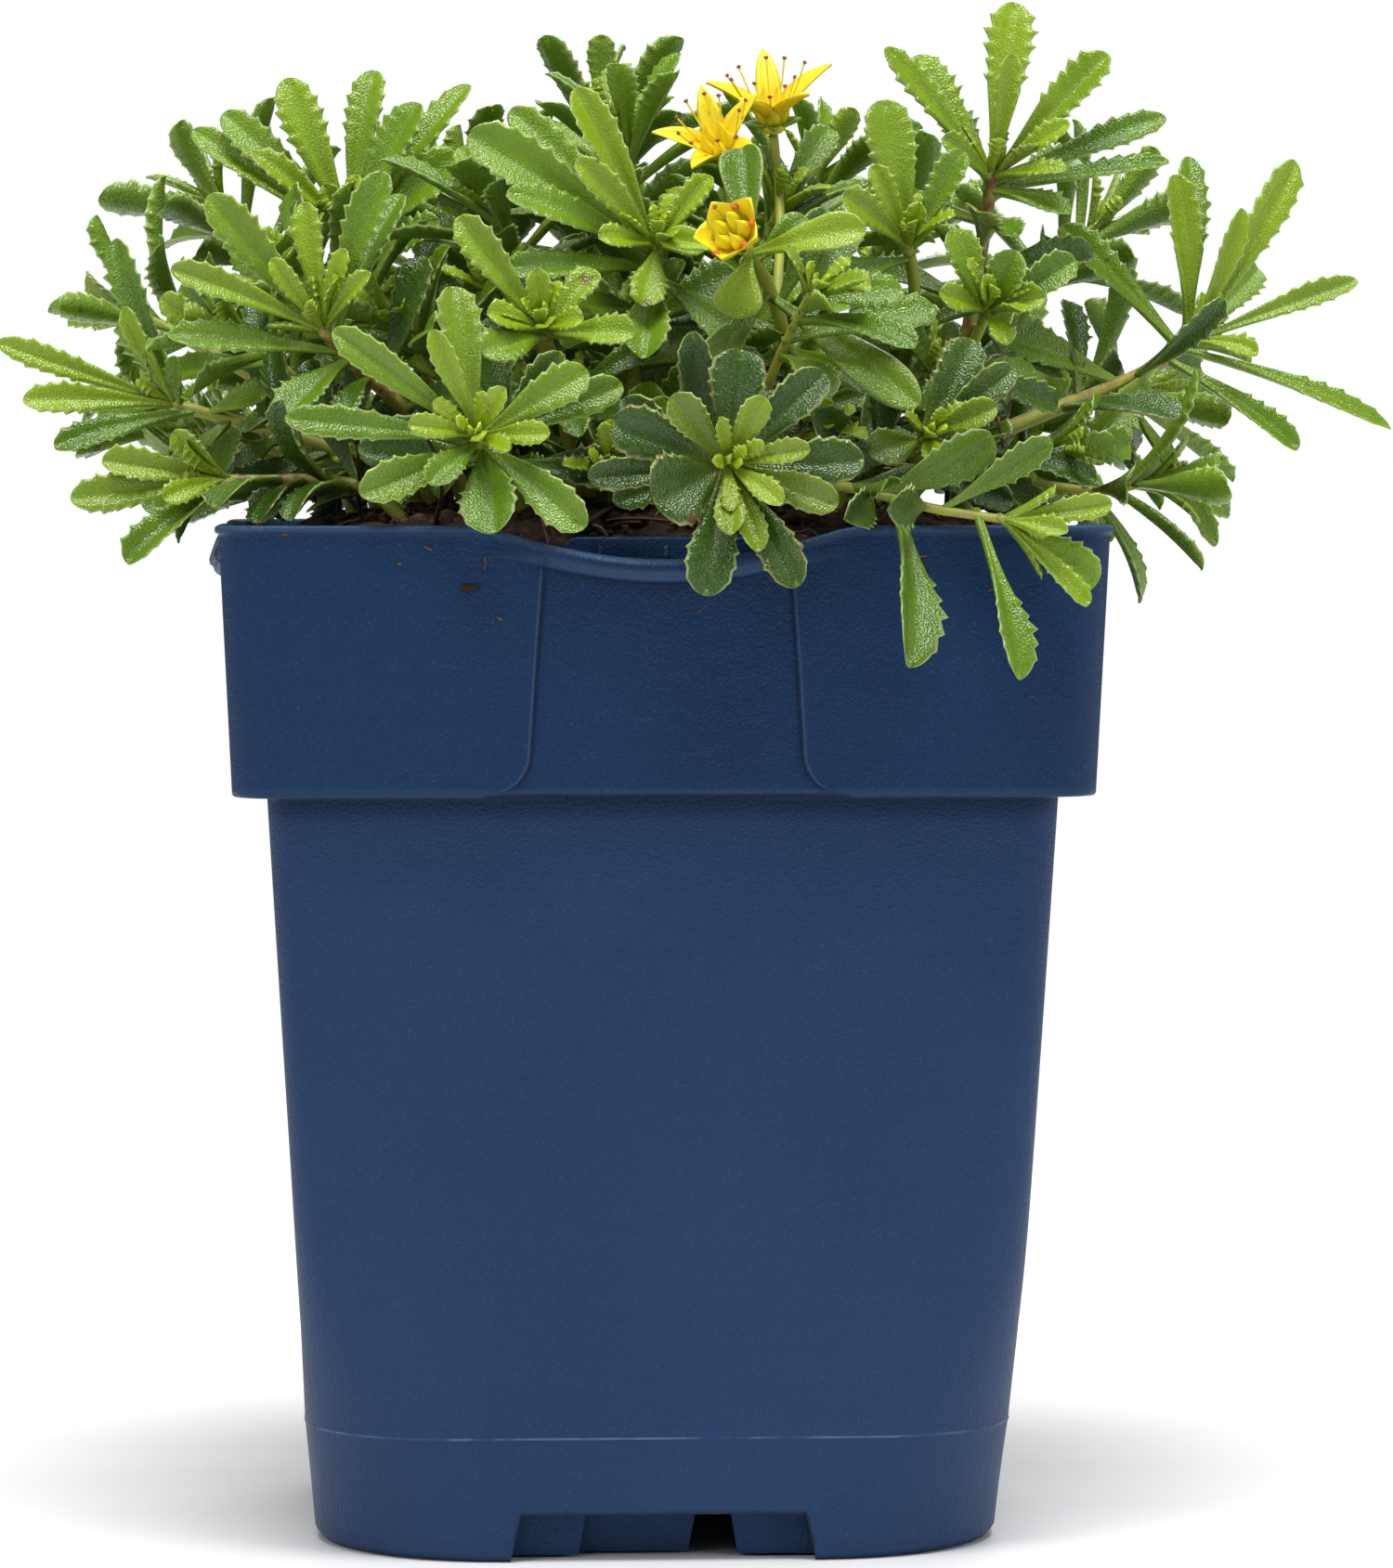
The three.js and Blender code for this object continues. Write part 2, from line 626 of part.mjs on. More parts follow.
// Shoots read off the plant's front. Root is a place in the soil, apex the middle of the rosette.
const FRONT_SHOOTS = [
  {
    name: 'shoot_front_left', root: [-14, -26], apex: [-19.2, -44, 116.2], lean: [-0.1, -0.75, 0.6],
    radius: 0.95,
    leaves: [
      [-2.4, 3, 15, 4.6, 1], [-4.6, -3, 10.5, 2.8, 0.8], [-14.5, -2, 10.5, 3.9, 1.4],
      [-19.4, -3, 1.6, 3.4, 2], [-7, -4, 1, 2.8, 0.5], [11.2, 0, 6.4, 4.3, 1],
      [14.8, 2, 5, 4, 2.2], [7.2, -4, 0, 2.8, 0.5], [2.6, -4, 4.7, 2.5, 0.4],
      [-4.9, -5, -5, 3.8, 1.5], [11.2, -3, -10.2, 4.4, 2.2], [-11.9, -3, -6, 4.6, 4],
      [2, -4, -11, 6.3, 3.4],
    ],
  },
  {
    name: 'shoot_front_middle', root: [2, -28], apex: [5.9, -49, 113.3], lean: [0.05, -0.85, 0.35],
    radius: 0.95,
    leaves: [
      [1.4, 1, 11.4, 6, 1.5], [-5.7, -2, 6.8, 4, 1], [-11.7, 0, 4.1, 5.4, 2],
      [-7.7, -3, -3.8, 8, 2], [9.9, 1, 9, 4.7, 2], [3.4, -3, 6.7, 3.3, 0.6],
      [8, -4, 1.5, 2.8, 0.5], [13.6, -2, 0.2, 4.7, 1.5], [10.9, -3, -4.2, 3.8, 1],
      [5.1, -5, -4.2, 3, 0.4], [2.8, -5, -8.9, 3.3, 0.8], [0, -6, -7.1, 3.3, 0.8],
      [-2.5, -4, -13.3, 5.6, 1.8], [6.8, -4, -12.4, 4.9, 1.4],
    ],
  },
  {
    name: 'shoot_front_right', root: [9, -33], apex: [34.5, -48.5, 107.5], lean: [1, -0.12, 0.02],
    rise: [0.2, -0.5, 0.9], radius: 0.7,
    leaves: [
      [-13, -9.5, -18.1, 6.1, 12.8, 3.4], [0.3, -6, -15.9, 4.4, 3.5, 3.4], [7.6, -3, -8.5, 2.9, 1],
      [8.6, -1, -6.4, 4.7, 1], [5.3, -4, -1.1, 2.6, 0.5], [10, -2, 1.8, 3, 0.8],
      [4, -1, 8.2, 3.3, 7.3], [-1.8, 1, 8.6, 5.6, 14], [-12, -2, 5.2, 3.5, 17],
    ],
  },
  {
    name: 'shoot_low_right', root: [19, -24], apex: [26.8, -38, 116.1], lean: [0.2, -0.8, 0.7],
    radius: 0.85,
    leaves: [
      [-8, -2, 4, 4.4, 1], [-6, -3, -2, 4.6, 1.2], [3, 2, 11, 4.8, 2], [7, -3, 3, 3.4, 0.8],
      [-2, -3, 6, 3, 0.5], [1, -5, -3, 3, 0.6], [9, 0, 7, 4.2, 2],
    ],
  },
  {
    name: 'shoot_right_rosette', root: [27, -14], apex: [34.6, -24, 129.6], lean: [0.2, -0.7, 0.8],
    radius: 0.9,
    leaves: [
      [-5.5, -3, 1.2, 3.4, 0.8], [5.5, -3, 1, 3.6, 0.8], [2.4, -3, 5.8, 4.4, 1.2],
      [-1, -4, 3, 2.4, 0.4], [-4, 0, 8, 4.2, 1.6], [1.5, -5, -4, 3, 0.8], [9, 0, 5, 4.2, 2],
    ],
  },
  {
    name: 'shoot_lower_left', root: [-27, -27], apex: [-45.2, -26, 111.6], lean: [-1, -0.1, 0.1],
    rise: [-0.5, 0, 0.8], radius: 0.85,
    leaves: [
      [-15.6, -3, -2, 4, 1], [-12.4, -2, 2, 4, 0.6], [-9.8, -5, -8.6, 4.4, 1.2],
      [-0.9, -10, -7.5, 4.6, 6], [-5, -3, 5, 3, 0.6], [-6, -5, -2, 3, 0.4],
    ],
  },
  {
    name: 'shoot_left', root: [-27, -15], apex: [-50.9, -14, 119.5], lean: [-1, 0, 0.35],
    rise: [-0.4, -0.1, 0.9], radius: 1,
    leaves: [
      [-18, -2, 6.5, 3, 0.6], [-5.9, 2, 17.4, 4.1, 1.4], [-4.7, -3, 10.2, 2.6, 0.6],
      [-15.3, -4, 0.4, 3.5, 0.6], [-12, -5, -4.5, 3.6, 3], [-2, -7, -11.5, 5.2, 6.5],
      [0.5, -3, 5, 2.5, 1.2], [10.3, -3, 1.5, 3.5, 4], [-5, 9, 10, 4.2, 2.4],
      [-9, 8, 1, 4.2, 3],
    ],
  },
  {
    name: 'shoot_upper_left', root: [-20, -16], apex: [-35.1, -25, 127.4], lean: [-0.5, -0.4, 0.8],
    rise: [-0.1, 0, 1], radius: 1,
    leaves: [
      [-11.5, -2, 13.5, 4.4, 1], [-15.3, -4, 6, 3.5, 1], [-1.7, 1, 13, 3.4, 0.8],
      [6.8, -1, 16, 4.5, 1.6], [8.5, 5, 14, 4, 2], [-5, -3, 7, 2.6, 0.4], [2.6, -3, 8, 2.6, 0.4],
      [5.2, -4, 5.5, 2.8, 0.6], [-15.7, -5, -1, 3.8, 4], [-3.8, -7, -9.7, 5, 5],
    ],
  },
  {
    name: 'shoot_left_top', root: [-14, 0], apex: [-32.5, 2, 138.7], lean: [-0.35, -0.2, 0.9],
    radius: 1.05,
    leaves: [
      [-6.4, 1, 16, 4.5, 1], [-10, -2, 7.9, 3.6, 0.8], [3.2, 3, 17, 4.5, 1.2],
      [8, -2, 13.2, 5.2, 1.4], [13.4, 3, 15.5, 4, 2], [-13.2, 4, 12.4, 4, 1.4],
      [-16.6, 5, 10.5, 3.6, 2], [12.4, -3, 7.5, 5.5, 2.4], [10, -6, 0.4, 4.2, 5],
      [11.7, -4, -5.6, 4.4, 9], [1.3, -2, 5.5, 2.6, 0.4], [-2.2, -2, 4.5, 2.6, 0.4],
    ],
  },
  {
    name: 'shoot_middle', root: [-4, -14], apex: [-0.2, -24, 136.2], lean: [-0.1, -0.6, 0.8],
    radius: 1.05,
    leaves: [
      [-8.5, -1, 15.9, 4.5, 0.8], [-15.1, 5, 14, 4.2, 2], [-19.5, 0, 11.2, 6, 2],
      [-15.7, -4, 4.9, 4.5, 1.2], [-8.4, -4, 8.4, 3.5, 0.8], [-6.2, -5, 0.5, 3, 0.4],
      [3.7, -5, -0.3, 2.8, 0.4], [-1.5, -7, -5.8, 4, 0.8], [4.8, -2, 7.3, 3.4, 0.6],
      [8.5, -5, -10.6, 4, 4], [-15.8, -5, -3.1, 4.4, 3], [-1.6, -8, -12.2, 5.5, 5],
    ],
  },
  {
    name: 'shoot_middle_left', root: [-9, -22], apex: [-12.2, -32, 127.2], lean: [-0.3, -0.6, 0.8],
    radius: 0.95,
    leaves: [
      [-8.7, 0, 11.4, 4, 1], [-5.8, -4, 1.5, 3.4, 0.6], [-6.3, -6, -2.9, 5, 1.2],
      [4, -4, 0.8, 3, 0.5], [9.3, -4, -0.7, 4, 1], [-0.8, -2, 6, 3, 0.4], [5.5, 2, 6, 3.5, 1],
    ],
  },
  {
    name: 'shoot_right_top', root: [33, -10], apex: [36, -12, 144.1], lean: [0.1, -0.25, 1],
    rise: [-0.1, 0.1, 1], radius: 1.1,
    leaves: [
      [2.6, 2, 18.1, 4.9, 0.8], [1.9, -3, 12.4, 2.9, 0.6], [-11.5, -1, 13.1, 3.4, 0.8],
      [-8, 4, 12.5, 4.4, 1], [12.2, -1, 12.5, 4.4, 0.8], [18.7, 2, 6, 3.4, 1.4],
      [18.7, -1, 1.2, 2.6, 2], [7.8, -4, 5.1, 2.8, 0.5], [7.2, -6, 0, 2.8, 0.6],
      [7.8, -5, -4.6, 3.4, 2], [-5.6, -4, 3.5, 3, 1], [-15.3, -3, -2.7, 4.4, 5.5],
      [2, -7, -7, 3.4, 5], [-4, 9, 7, 4.2, 1.6], [10, 9, 2, 4.4, 3],
    ],
  },
  {
    name: 'shoot_right_inner', root: [24, -4], apex: [26.5, -19, 136.4], lean: [-0.3, -0.45, 0.8],
    rise: [0.1, 0, 1], radius: 0.95,
    leaves: [
      [-2.7, 1, 15, 5.4, 1], [-7.3, -5, 4.9, 3.7, 0.8], [-10, -5, -4.7, 4, 2],
      [1, -4, 4, 2.6, 0.4], [-4, -3, 8, 3, 0.6], [5, 2, 10, 4, 1.4],
    ],
  },
  {
    name: 'shoot_far_right', root: [25, -19], apex: [58.6, -4, 126.6], lean: [0.75, 0.1, 0.6],
    rise: [0.7, 0, 0.8], radius: 1.05,
    leaves: [
      [-2.2, 0, 17.7, 4.5, 0.8], [0, 6, 19.9, 4, 1.4], [4.9, -2, 14, 3, 0.6],
      [11.1, 2, 19.3, 4.1, 0.8], [17.5, -1, 6.3, 3, 0.8], [21, -2, -9.6, 2.8, 2],
      [6.3, -4, -1.6, 3, 0.5], [10.7, -4, -11.8, 3.5, 4], [-14.4, 2, 12.1, 4.5, 2],
      [-11.4, -6, -11.3, 5.4, 5], [1.6, -6, -22.2, 2.8, 11], [0.5, -2, 5, 2.4, 0.4],
      [-23, -4, 0.5, 5.5, 10.5], [8, 9, 8, 4.2, 2.6], [2, 10, -3, 4.2, 5],
    ],
  },
];

// The flowering stem: broad smooth bracts round the bud, with two thin branches above it.
const FLOWER_SHOOT = {
  name: 'shoot_flowering', root: [15, -12], apex: [8.3, -33, 135.8], lean: [-0.4, -0.8, 0.35],
  rise: [0.1, -0.2, 1], radius: 1,
  leaves: [
    [0.3, 7, 10.2, 5.2, 2.2], [-0.9, -0.5, -7.7, 5.2, 2.2], [-8, 6.7, 0.8, 3.2, 2.2],
    [12.4, -3.2, 1.3, 4.4, 2.2], [6.8, 3, 2.8, 3.4, 4],
    [17.6, -5, -16.8, 5, 10],
  ],
};
const BRANCHES = [
  { from: 12, bend: [13.4, -13, 139.3], to: [12.9, -9.6, 148.2] },
  { from: 6, bend: [8.1, -17.4, 139.9], to: [7.4, -15.4, 145] },
];
const BRANCH_RADIUS = 0.55;
const SEAT_GAP = 0.5;

// Open flowers and the bud: the stem end that carries each, the way it looks, and how far its
// petals reach.
const FLOWERS = [
  { name: 'flower_upper', end: BRANCHES[0].to, facing: [-0.1, -0.5, 1], reach: 9 },
  { name: 'flower_lower', end: BRANCHES[1].to, facing: [-0.3, -0.75, 0.65], reach: 8 },
  { name: 'flower_bud', end: FLOWER_SHOOT.apex, facing: FLOWER_SHOOT.lean, reach: 4.6, isBud: true },
].map((flower) => ({ ...flower, seat: along(flower.end, unit(flower.facing), SEAT_GAP) }));
const PETALS = 5;
const PETAL_WIDTH = 2.6;
const PETAL_FOOT = 0.5;
const FLOWER_BASE = 1.5;
const FLOWER_BASE_HEIGHT = 1.2;
// The five joined carpels: at each height, how far their backs and the grooves between stand out.
const CARPELS = [
  { height: 0.3, back: 1.5, groove: 0.9 },
  { height: 2.2, back: 2.3, groove: 1.2 },
  { height: 4.4, back: 1.5, groove: 0.35 },
];

// Shoots behind the front ones and round the back, the leaves of each by rule.
const FILLING_SHOOTS = [
  { name: 'shoot_back_centre', root: [-4, 6], apex: [-4.2, 16, 151.1], lean: [0, 0.15, 1] },
  { name: 'shoot_inner_right', root: [12, 4], apex: [18.3, 5, 144.4], lean: [0.2, -0.1, 1] },
  { name: 'shoot_left_back', root: [-22, 14], apex: [-46.6, 22, 142.2], lean: [-0.5, 0.2, 0.8] },
  { name: 'shoot_left_edge', root: [-31, 4], apex: [-54.6, 12, 129.5], lean: [-0.8, 0.1, 0.5] },
  { name: 'shoot_right_back', root: [27, 8], apex: [50, 18, 139.3], lean: [0.5, 0.2, 0.8] },
  { name: 'shoot_right_edge', root: [33, 4], apex: [56.1, 16, 122], lean: [0.9, 0.1, 0.3] },
  { name: 'shoot_back_right_low', root: [26, 26], apex: [44, 46, 120], lean: [0.6, 0.6, 0.4] },
  { name: 'shoot_back_low', root: [6, 30], apex: [13, 54, 118], lean: [0.1, 0.9, 0.4] },
  { name: 'shoot_back_left_low', root: [-16, 28], apex: [-18, 54, 120], lean: [-0.1, 0.9, 0.5] },
  { name: 'shoot_corner_left', root: [-29, 26], apex: [-46, 44, 118], lean: [-0.7, 0.6, 0.4] },
  { name: 'shoot_back_right_top', root: [17, 20], apex: [30, 30, 138], lean: [0.3, 0.3, 0.9] },
  { name: 'shoot_back_top', root: [2, 20], apex: [6, 38, 138], lean: [0.05, 0.4, 0.9] },
  { name: 'shoot_back_left_top', root: [-14, 18], apex: [-22, 34, 137], lean: [-0.2, 0.4, 0.9] },
];
const FILLING_RADIUS = 1;
const FILLING_LEAVES = 10;
const FILLING_LENGTH = 17;

function plannedShoots() {
  const listed = [FLOWER_SHOOT, ...FRONT_SHOOTS];
  const filling = FILLING_SHOOTS.map((shoot) => ({
    ...shoot,
    radius: FILLING_RADIUS,
    count: FILLING_LEAVES,
    length: FILLING_LENGTH,
  }));
  return [...listed, ...filling].map((shoot, index) => ({
    ...shoot,
    seed: index + 1,
    path: stemPath(shoot),
    light: shoot.leaves
      ? scaled(LIGHT_SIDE, FRONT_PULL)
      : scaled(unit(less(shoot.apex, PLANT_HEART)), OUTWARD_PULL),
    placed: [],
  }));
}

function stemSamples(path) {
  const samples = [];
  for (let i = 1; i < path.length; i += 1) {
    const parts = Math.ceil(size(less(path[i], path[i - 1])) / SAMPLE_STEP);
    for (let part = 0; part < parts; part += 1) {
      samples.push(along(path[i - 1], less(path[i], path[i - 1]), part / parts));
    }
  }
  return samples;
}

function branchPath(shoot, { from, bend, to }) {
  const { point } = pointBelowTip(shoot.path, from);
  const curve = new THREE.CatmullRomCurve3([point, bend, to].map((p) => new THREE.Vector3(...p)));
  return curve.getPoints(5).map((p) => p.toArray());
}

// A pointed petal or sepal: a narrow leaf without teeth.
function petalSolid(petal) {
  const points = [
    leafPoint(petal, 0, -0.4, 0), leafPoint(petal, 0, 0.4, 0),
    leafPoint(petal, 0.5, petal.width / 2, 0), leafPoint(petal, 1, 0, 0),
    leafPoint(petal, 0.5, -petal.width / 2, 0),
    leafPoint(petal, 0.45, 0, LEAF_HOLLOW), leafPoint(petal, 0.45, 0, LEAF_HOLLOW - LEAF_THICKNESS),
  ];
  const faces = [];
  for (let i = 0; i < 5; i += 1) {
    const next = (i + 1) % 5;
    faces.push([5, i, next], [6, next, i]);
  }
  return solid(points, faces);
}

function makeFlower({ seat, facing, reach, isBud }) {
  const up = unit(facing);
  const sideways = unit(cross(up, [0.3, 1, 0.2]));
  const baseTop = along(seat, up, FLOWER_BASE_HEIGHT);
  const pieces = [rod([seat, baseTop], FLOWER_BASE, FLOWER_BASE * 0.8, 6)];
  for (let i = 0; i < PETALS; i += 1) {
    const outward = turned(sideways, up, 360 * i / PETALS);
    const chord = unit(along(up, outward, isBud ? 0.8 : 1.25));
    const foot = along(seat, up, PETAL_FOOT);
    pieces.push(petalSolid(makeLeaf(foot, chord, up, reach, PETAL_WIDTH, isBud ? -0.8 : 0.4)));
  }
  pieces.push(stacked(CARPELS.map(({ height, back, groove }) => {
    const ring = [];
    for (let i = 0; i < 2 * PETALS; i += 1) {
      const outward = turned(sideways, up, 180 * (i + 1) / PETALS);
      ring.push(along(along(seat, up, height), outward, i % 2 === 0 ? back : groove));
    }
    return ring;
  })));
  return union(pieces);
}

function flowerSamples({ seat, facing, reach }) {
  const up = unit(facing);
  const samples = [];
  for (const height of [0, 1.8, 3.6]) {
    const spread = height > 3 ? reach * 0.9 : 2 + height * 0.8;
    samples.push(along(seat, up, height));
    for (let i = 0; i < 12; i += 1) {
      const outward = turned(unit(cross(up, [0.3, 1, 0.2])), up, 30 * i);
      samples.push(along(along(seat, up, height), outward, spread));
      samples.push(along(along(seat, up, height * 0.8), outward, spread * 0.5));
    }
  }
  return samples;
}

function makeShoot(shoot) {
  const pieces = [rod(shoot.path, shoot.radius, shoot.radius * STEM_TAPER, STEM_SIDES)];
  for (const leaf of shoot.placed) {
    pieces.push(leafSolid(leaf));
  }
  if (shoot.name === FLOWER_SHOOT.name) {
    for (const branch of BRANCHES) {
      pieces.push(rod(branchPath(shoot, branch), BRANCH_RADIUS, BRANCH_RADIUS, STEM_SIDES));
    }
  }
  return union(pieces);
}

// Only the largest body is kept, so no loose scrap stays behind.
function wholeBody(piece) {
  const bodies = piece.decompose();
  bodies.sort((a, b) => b.volume() - a.volume());
  return bodies[0];
}

const MATERIALS = {
  pot: new THREE.MeshStandardMaterial({ color: '#223a63', roughness: 0.45, metalness: 0 }),
  soil: new THREE.MeshStandardMaterial({ color: '#33261d', roughness: 0.95, metalness: 0 }),
  leaf: new THREE.MeshStandardMaterial({ color: '#5f9433', roughness: 0.42, metalness: 0 }),
  flower: new THREE.MeshStandardMaterial({ color: '#f3cd16', roughness: 0.5, metalness: 0 }),
};

function named(name, piece, material) {
  const { vertProperties, triVerts } = wholeBody(piece.simplify(SMALLEST_EDGE)).getMesh();
  const geometry = new THREE.BufferGeometry();
  geometry.setAttribute('position', new THREE.BufferAttribute(vertProperties, 3));
  geometry.setIndex(new THREE.BufferAttribute(triVerts, 1));
  geometry.computeVertexNormals();
  const mesh = new THREE.Mesh(geometry, material);
  mesh.name = name;
  return mesh;
}

const shoots = plannedShoots();
for (const shoot of shoots) {
  occupy(stemSamples(shoot.path), shoot.name);
}
for (const branch of BRANCHES) {
  occupy(stemSamples(branchPath(shoots[0], branch)), shoots[0].name);
}
for (const flower of FLOWERS) {
  occupy(flowerSamples(flower), flower.name);
}
for (const shoot of shoots) {
  const wishes = shoot.leaves ? listedLeaves(shoot) : spiralLeaves(shoot);
  for (const wish of wishes) {
    placeLeaf(shoot, wish);
  }
}

const plant = new THREE.Group();
plant.add(named('pot', makePot(), MATERIALS.pot));
plant.add(named('soil', makeSoil(shoots), MATERIALS.soil));
for (const shoot of shoots) {
  plant.add(named(shoot.name, makeShoot(shoot), MATERIALS.leaf));
}
for (const flower of FLOWERS) {
  plant.add(named(flower.name, makeFlower(flower), MATERIALS.flower));
}

export default plant;
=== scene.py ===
import math
from itertools import product

import bpy
import numpy as np
from mathutils import Matrix, Vector


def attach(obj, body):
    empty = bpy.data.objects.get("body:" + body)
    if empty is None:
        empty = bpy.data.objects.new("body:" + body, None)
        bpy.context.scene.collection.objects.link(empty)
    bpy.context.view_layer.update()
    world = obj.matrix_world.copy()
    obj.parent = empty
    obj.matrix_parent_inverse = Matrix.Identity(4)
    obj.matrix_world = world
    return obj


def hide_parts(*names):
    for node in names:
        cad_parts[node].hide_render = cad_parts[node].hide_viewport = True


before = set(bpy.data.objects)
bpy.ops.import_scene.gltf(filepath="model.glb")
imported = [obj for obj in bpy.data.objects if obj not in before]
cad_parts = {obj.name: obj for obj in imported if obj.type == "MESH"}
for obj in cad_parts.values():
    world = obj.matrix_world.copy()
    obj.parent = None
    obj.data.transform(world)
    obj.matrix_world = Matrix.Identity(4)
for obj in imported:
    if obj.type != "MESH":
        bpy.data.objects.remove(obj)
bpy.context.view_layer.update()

# Everything below is worked out in millimetres and turned into metres when a mesh is made.
MM = 0.001

# Pot sizes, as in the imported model.
POT_HEIGHT = 107
WALL = 1.2
FLOOR_TOP = 6.2
FLOOR_UNDERSIDE = 5
SKIRT_HEM_Z = 79.5
SKIRT_HEM_HALF = 44.1
SKIRT_TOP_Z = 106.2
SKIRT_TOP_HALF = 45.35
SKIRT_RADIUS = 4.2
BEAD_PROUD = 0.4
PANEL_TOP_HALF = 12.4
PANEL_HEM_HALF = 13.8
PANEL_FLARE = 4.6
PANEL_DEPTH = 0.45
DIP_HALF = 19
DIP_ROUNDING = 1.15
LIP_HALF = 16
LIP_DROP = 3.4
LIP_BULGE = 1.2
POCKET_HALF = 10.5
POCKET_DEPTH = 2.2
POCKET_TOP = 105.8
POCKET_FLOOR = 97
POCKET_RIBS = (-6.7, 0, 6.7)
POCKET_ROUNDING = 1.6
GATE_HALF_LOW = 16
GATE_HALF_HIGH = 14.7
HUB_RADIUS = 7
HUB_CHAMFER = 0.3
# The lowest and highest points of the hub and the baffles.
FOOT_WALLS = (0.3, 5.3)
BAFFLE_THICKNESS = 1.4
FOOT_HALF = 35.4
# Walls behind the gate: from, to, how far back, and how far they lean to the right at the top.
BAFFLES = ((-16.2, -8.2, 2.7, 0.45), (-8.6, 3.3, 4.9, 0.5), (7.4, 15.7, 2.7, -0.4))
DRAIN_RADIUS = 4
DRAIN_OFFSET = 19
# Height and half width up the pot's body.
BODY = ((0, 35.4), (1.2, 36), (13, 37), (24, 37.4), (42, 38.4), (79.4, 40.6))
# Half the width of the panel's columns on the body, which has no panel.
BASE_EDGE = 10.0
# The body's corners are wide at the foot and tighten round this height.
CORNER_HIGH = 4
CORNER_GAIN = 16.5
CORNER_TURN_Z = 18.5
CORNER_TURN_SPAN = 6.2

# The soil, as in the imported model, and how square its crown is, seen from above.
SOIL_EDGE = 103.4
SOIL_CROWN = 5.4
SOIL_SQUARENESS = 4
SOIL_ROUGHNESS = 0.5
HOLE_DEPTH = 7

# Stems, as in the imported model. A stem arrives along its lean, this strongly for its length.
STEM_STEP = 8
FEWEST_STEPS = 4
STEM_ARRIVAL = 0.9

# Leaves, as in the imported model. The blade is widest at LEAF_WIDEST, as a share of its length.
LEAF_THICKNESS = 0.8
LEAF_FOLD = 0.34
LEAF_WIDEST = 0.74
LEAF_SPOON = 2.1
TIP_BLUNTNESS = 2.4
PETIOLE_WIDTH = 0.2
# A folded leaf looks narrower than it is, so widths read off the plant are opened by this.
FOLD_GAIN = 1.08
GOLDEN_ANGLE = 137.5
# Directions that no stem or flower grows in, to measure the turn round one from.
STEM_SIDE = (0.2, 1, 0.1)
FLOWER_SIDE = (0.3, 1, 0.2)

# The room that a leaf is tested for, and the share of its length from which it is.
CLEARANCE = 1.85
SAMPLE_STEP = 1.8
SAMPLE_FROM = 0.1
SAMPLE_WIDTH_TO = 0.97
LEAF_TO_POT = 1.1
# Leaves turn their upper face to the light: forwards on the front shoots, elsewhere outwards.
LIGHT_SIDE = (0, -1, 0.15)
PLANT_HEART = (0, -8, 118)
FRONT_PULL = 1.7
OUTWARD_PULL = 0.85


def add(a, b):
    return (a[0] + b[0], a[1] + b[1], a[2] + b[2])


def scaled(a, k):
    return (a[0] * k, a[1] * k, a[2] * k)


def along(a, b, k):
    return (a[0] + b[0] * k, a[1] + b[1] * k, a[2] + b[2] * k)


def less(a, b):
    return (a[0] - b[0], a[1] - b[1], a[2] - b[2])


def dot(a, b):
    return a[0] * b[0] + a[1] * b[1] + a[2] * b[2]


def cross(a, b):
    return (
        a[1] * b[2] - a[2] * b[1],
        a[2] * b[0] - a[0] * b[2],
        a[0] * b[1] - a[1] * b[0],
    )


def size(a):
    return math.sqrt(dot(a, a))


def unit(a):
    return scaled(a, 1 / size(a))


def turned(vector, axis, degrees):
    """Turns a vector about a unit axis."""
    cosine = math.cos(math.radians(degrees))
    sine = math.sin(math.radians(degrees))
    lift = dot(axis, vector) * (1 - cosine)
    return along(along(scaled(vector, cosine), cross(axis, vector), sine), axis, lift)


def drawer(seed):
    """A seeded draw between 0 and 1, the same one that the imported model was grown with."""
    mask = 0xFFFFFFFF
    state = seed

    def draw():
        nonlocal state
        state = (state + 0x6D2B79F5) & mask
        mix = ((state ^ (state >> 15)) * (state | 1)) & mask
        mix = ((mix + (((mix ^ (mix >> 7)) * (mix | 61)) & mask)) ^ mix) & mask
        return ((mix ^ (mix >> 14)) & mask) / 4294967296

    return draw


# How the plant grows.

def soil_height(x, y):
    """The soil's crown, falling to its edge at the pot's wall."""
    reach = SKIRT_TOP_HALF - WALL
    edge_x = 1 - min(abs(x) / reach, 1) ** SOIL_SQUARENESS
    edge_y = 1 - min(abs(y) / reach, 1) ** SOIL_SQUARENESS
    return SOIL_EDGE + SOIL_CROWN * edge_x * edge_y


def hermite(start, leave, end, arrive, t):
    """A point between start and end on the curve that leaves and arrives as given."""
    a = 2 * t ** 3 - 3 * t ** 2 + 1
    b = t ** 3 - 2 * t ** 2 + t
    c = -2 * t ** 3 + 3 * t ** 2
    d = t ** 3 - t ** 2
    return along(along(along(scaled(start, a), leave, b), end, c), arrive, d)


def stem_path(shoot):
    """A smooth curve from the root in the soil to the shoot's tip, leaving it along its lean."""
    upward = unit(shoot.get("rise", (0, 0, 1)))
    x, y = shoot["root"]
    start = (x, y, soil_height(x, y) + SOIL_ROUGHNESS)
    reach = size(less(shoot["apex"], start))
    leave = scaled(upward, reach)
    arrive = scaled(unit(shoot["lean"]), reach * STEM_ARRIVAL)
    steps = max(FEWEST_STEPS, math.ceil(reach / STEM_STEP))
    path = [along(start, upward, -HOLE_DEPTH)]
    for step in range(steps + 1):
        path.append(hermite(start, leave, shoot["apex"], arrive, step / steps))
    return path


def point_below_tip(path, distance):
    """The point at a distance back from the stem's tip, and the direction of growth there."""
    left = distance
    for i in range(len(path) - 1, 0, -1):
        step = less(path[i], path[i - 1])
        span = size(step)
        growth = scaled(step, 1 / span)
        if left <= span or i == 1:
            return along(path[i], growth, -left), growth
        left -= span
    return None


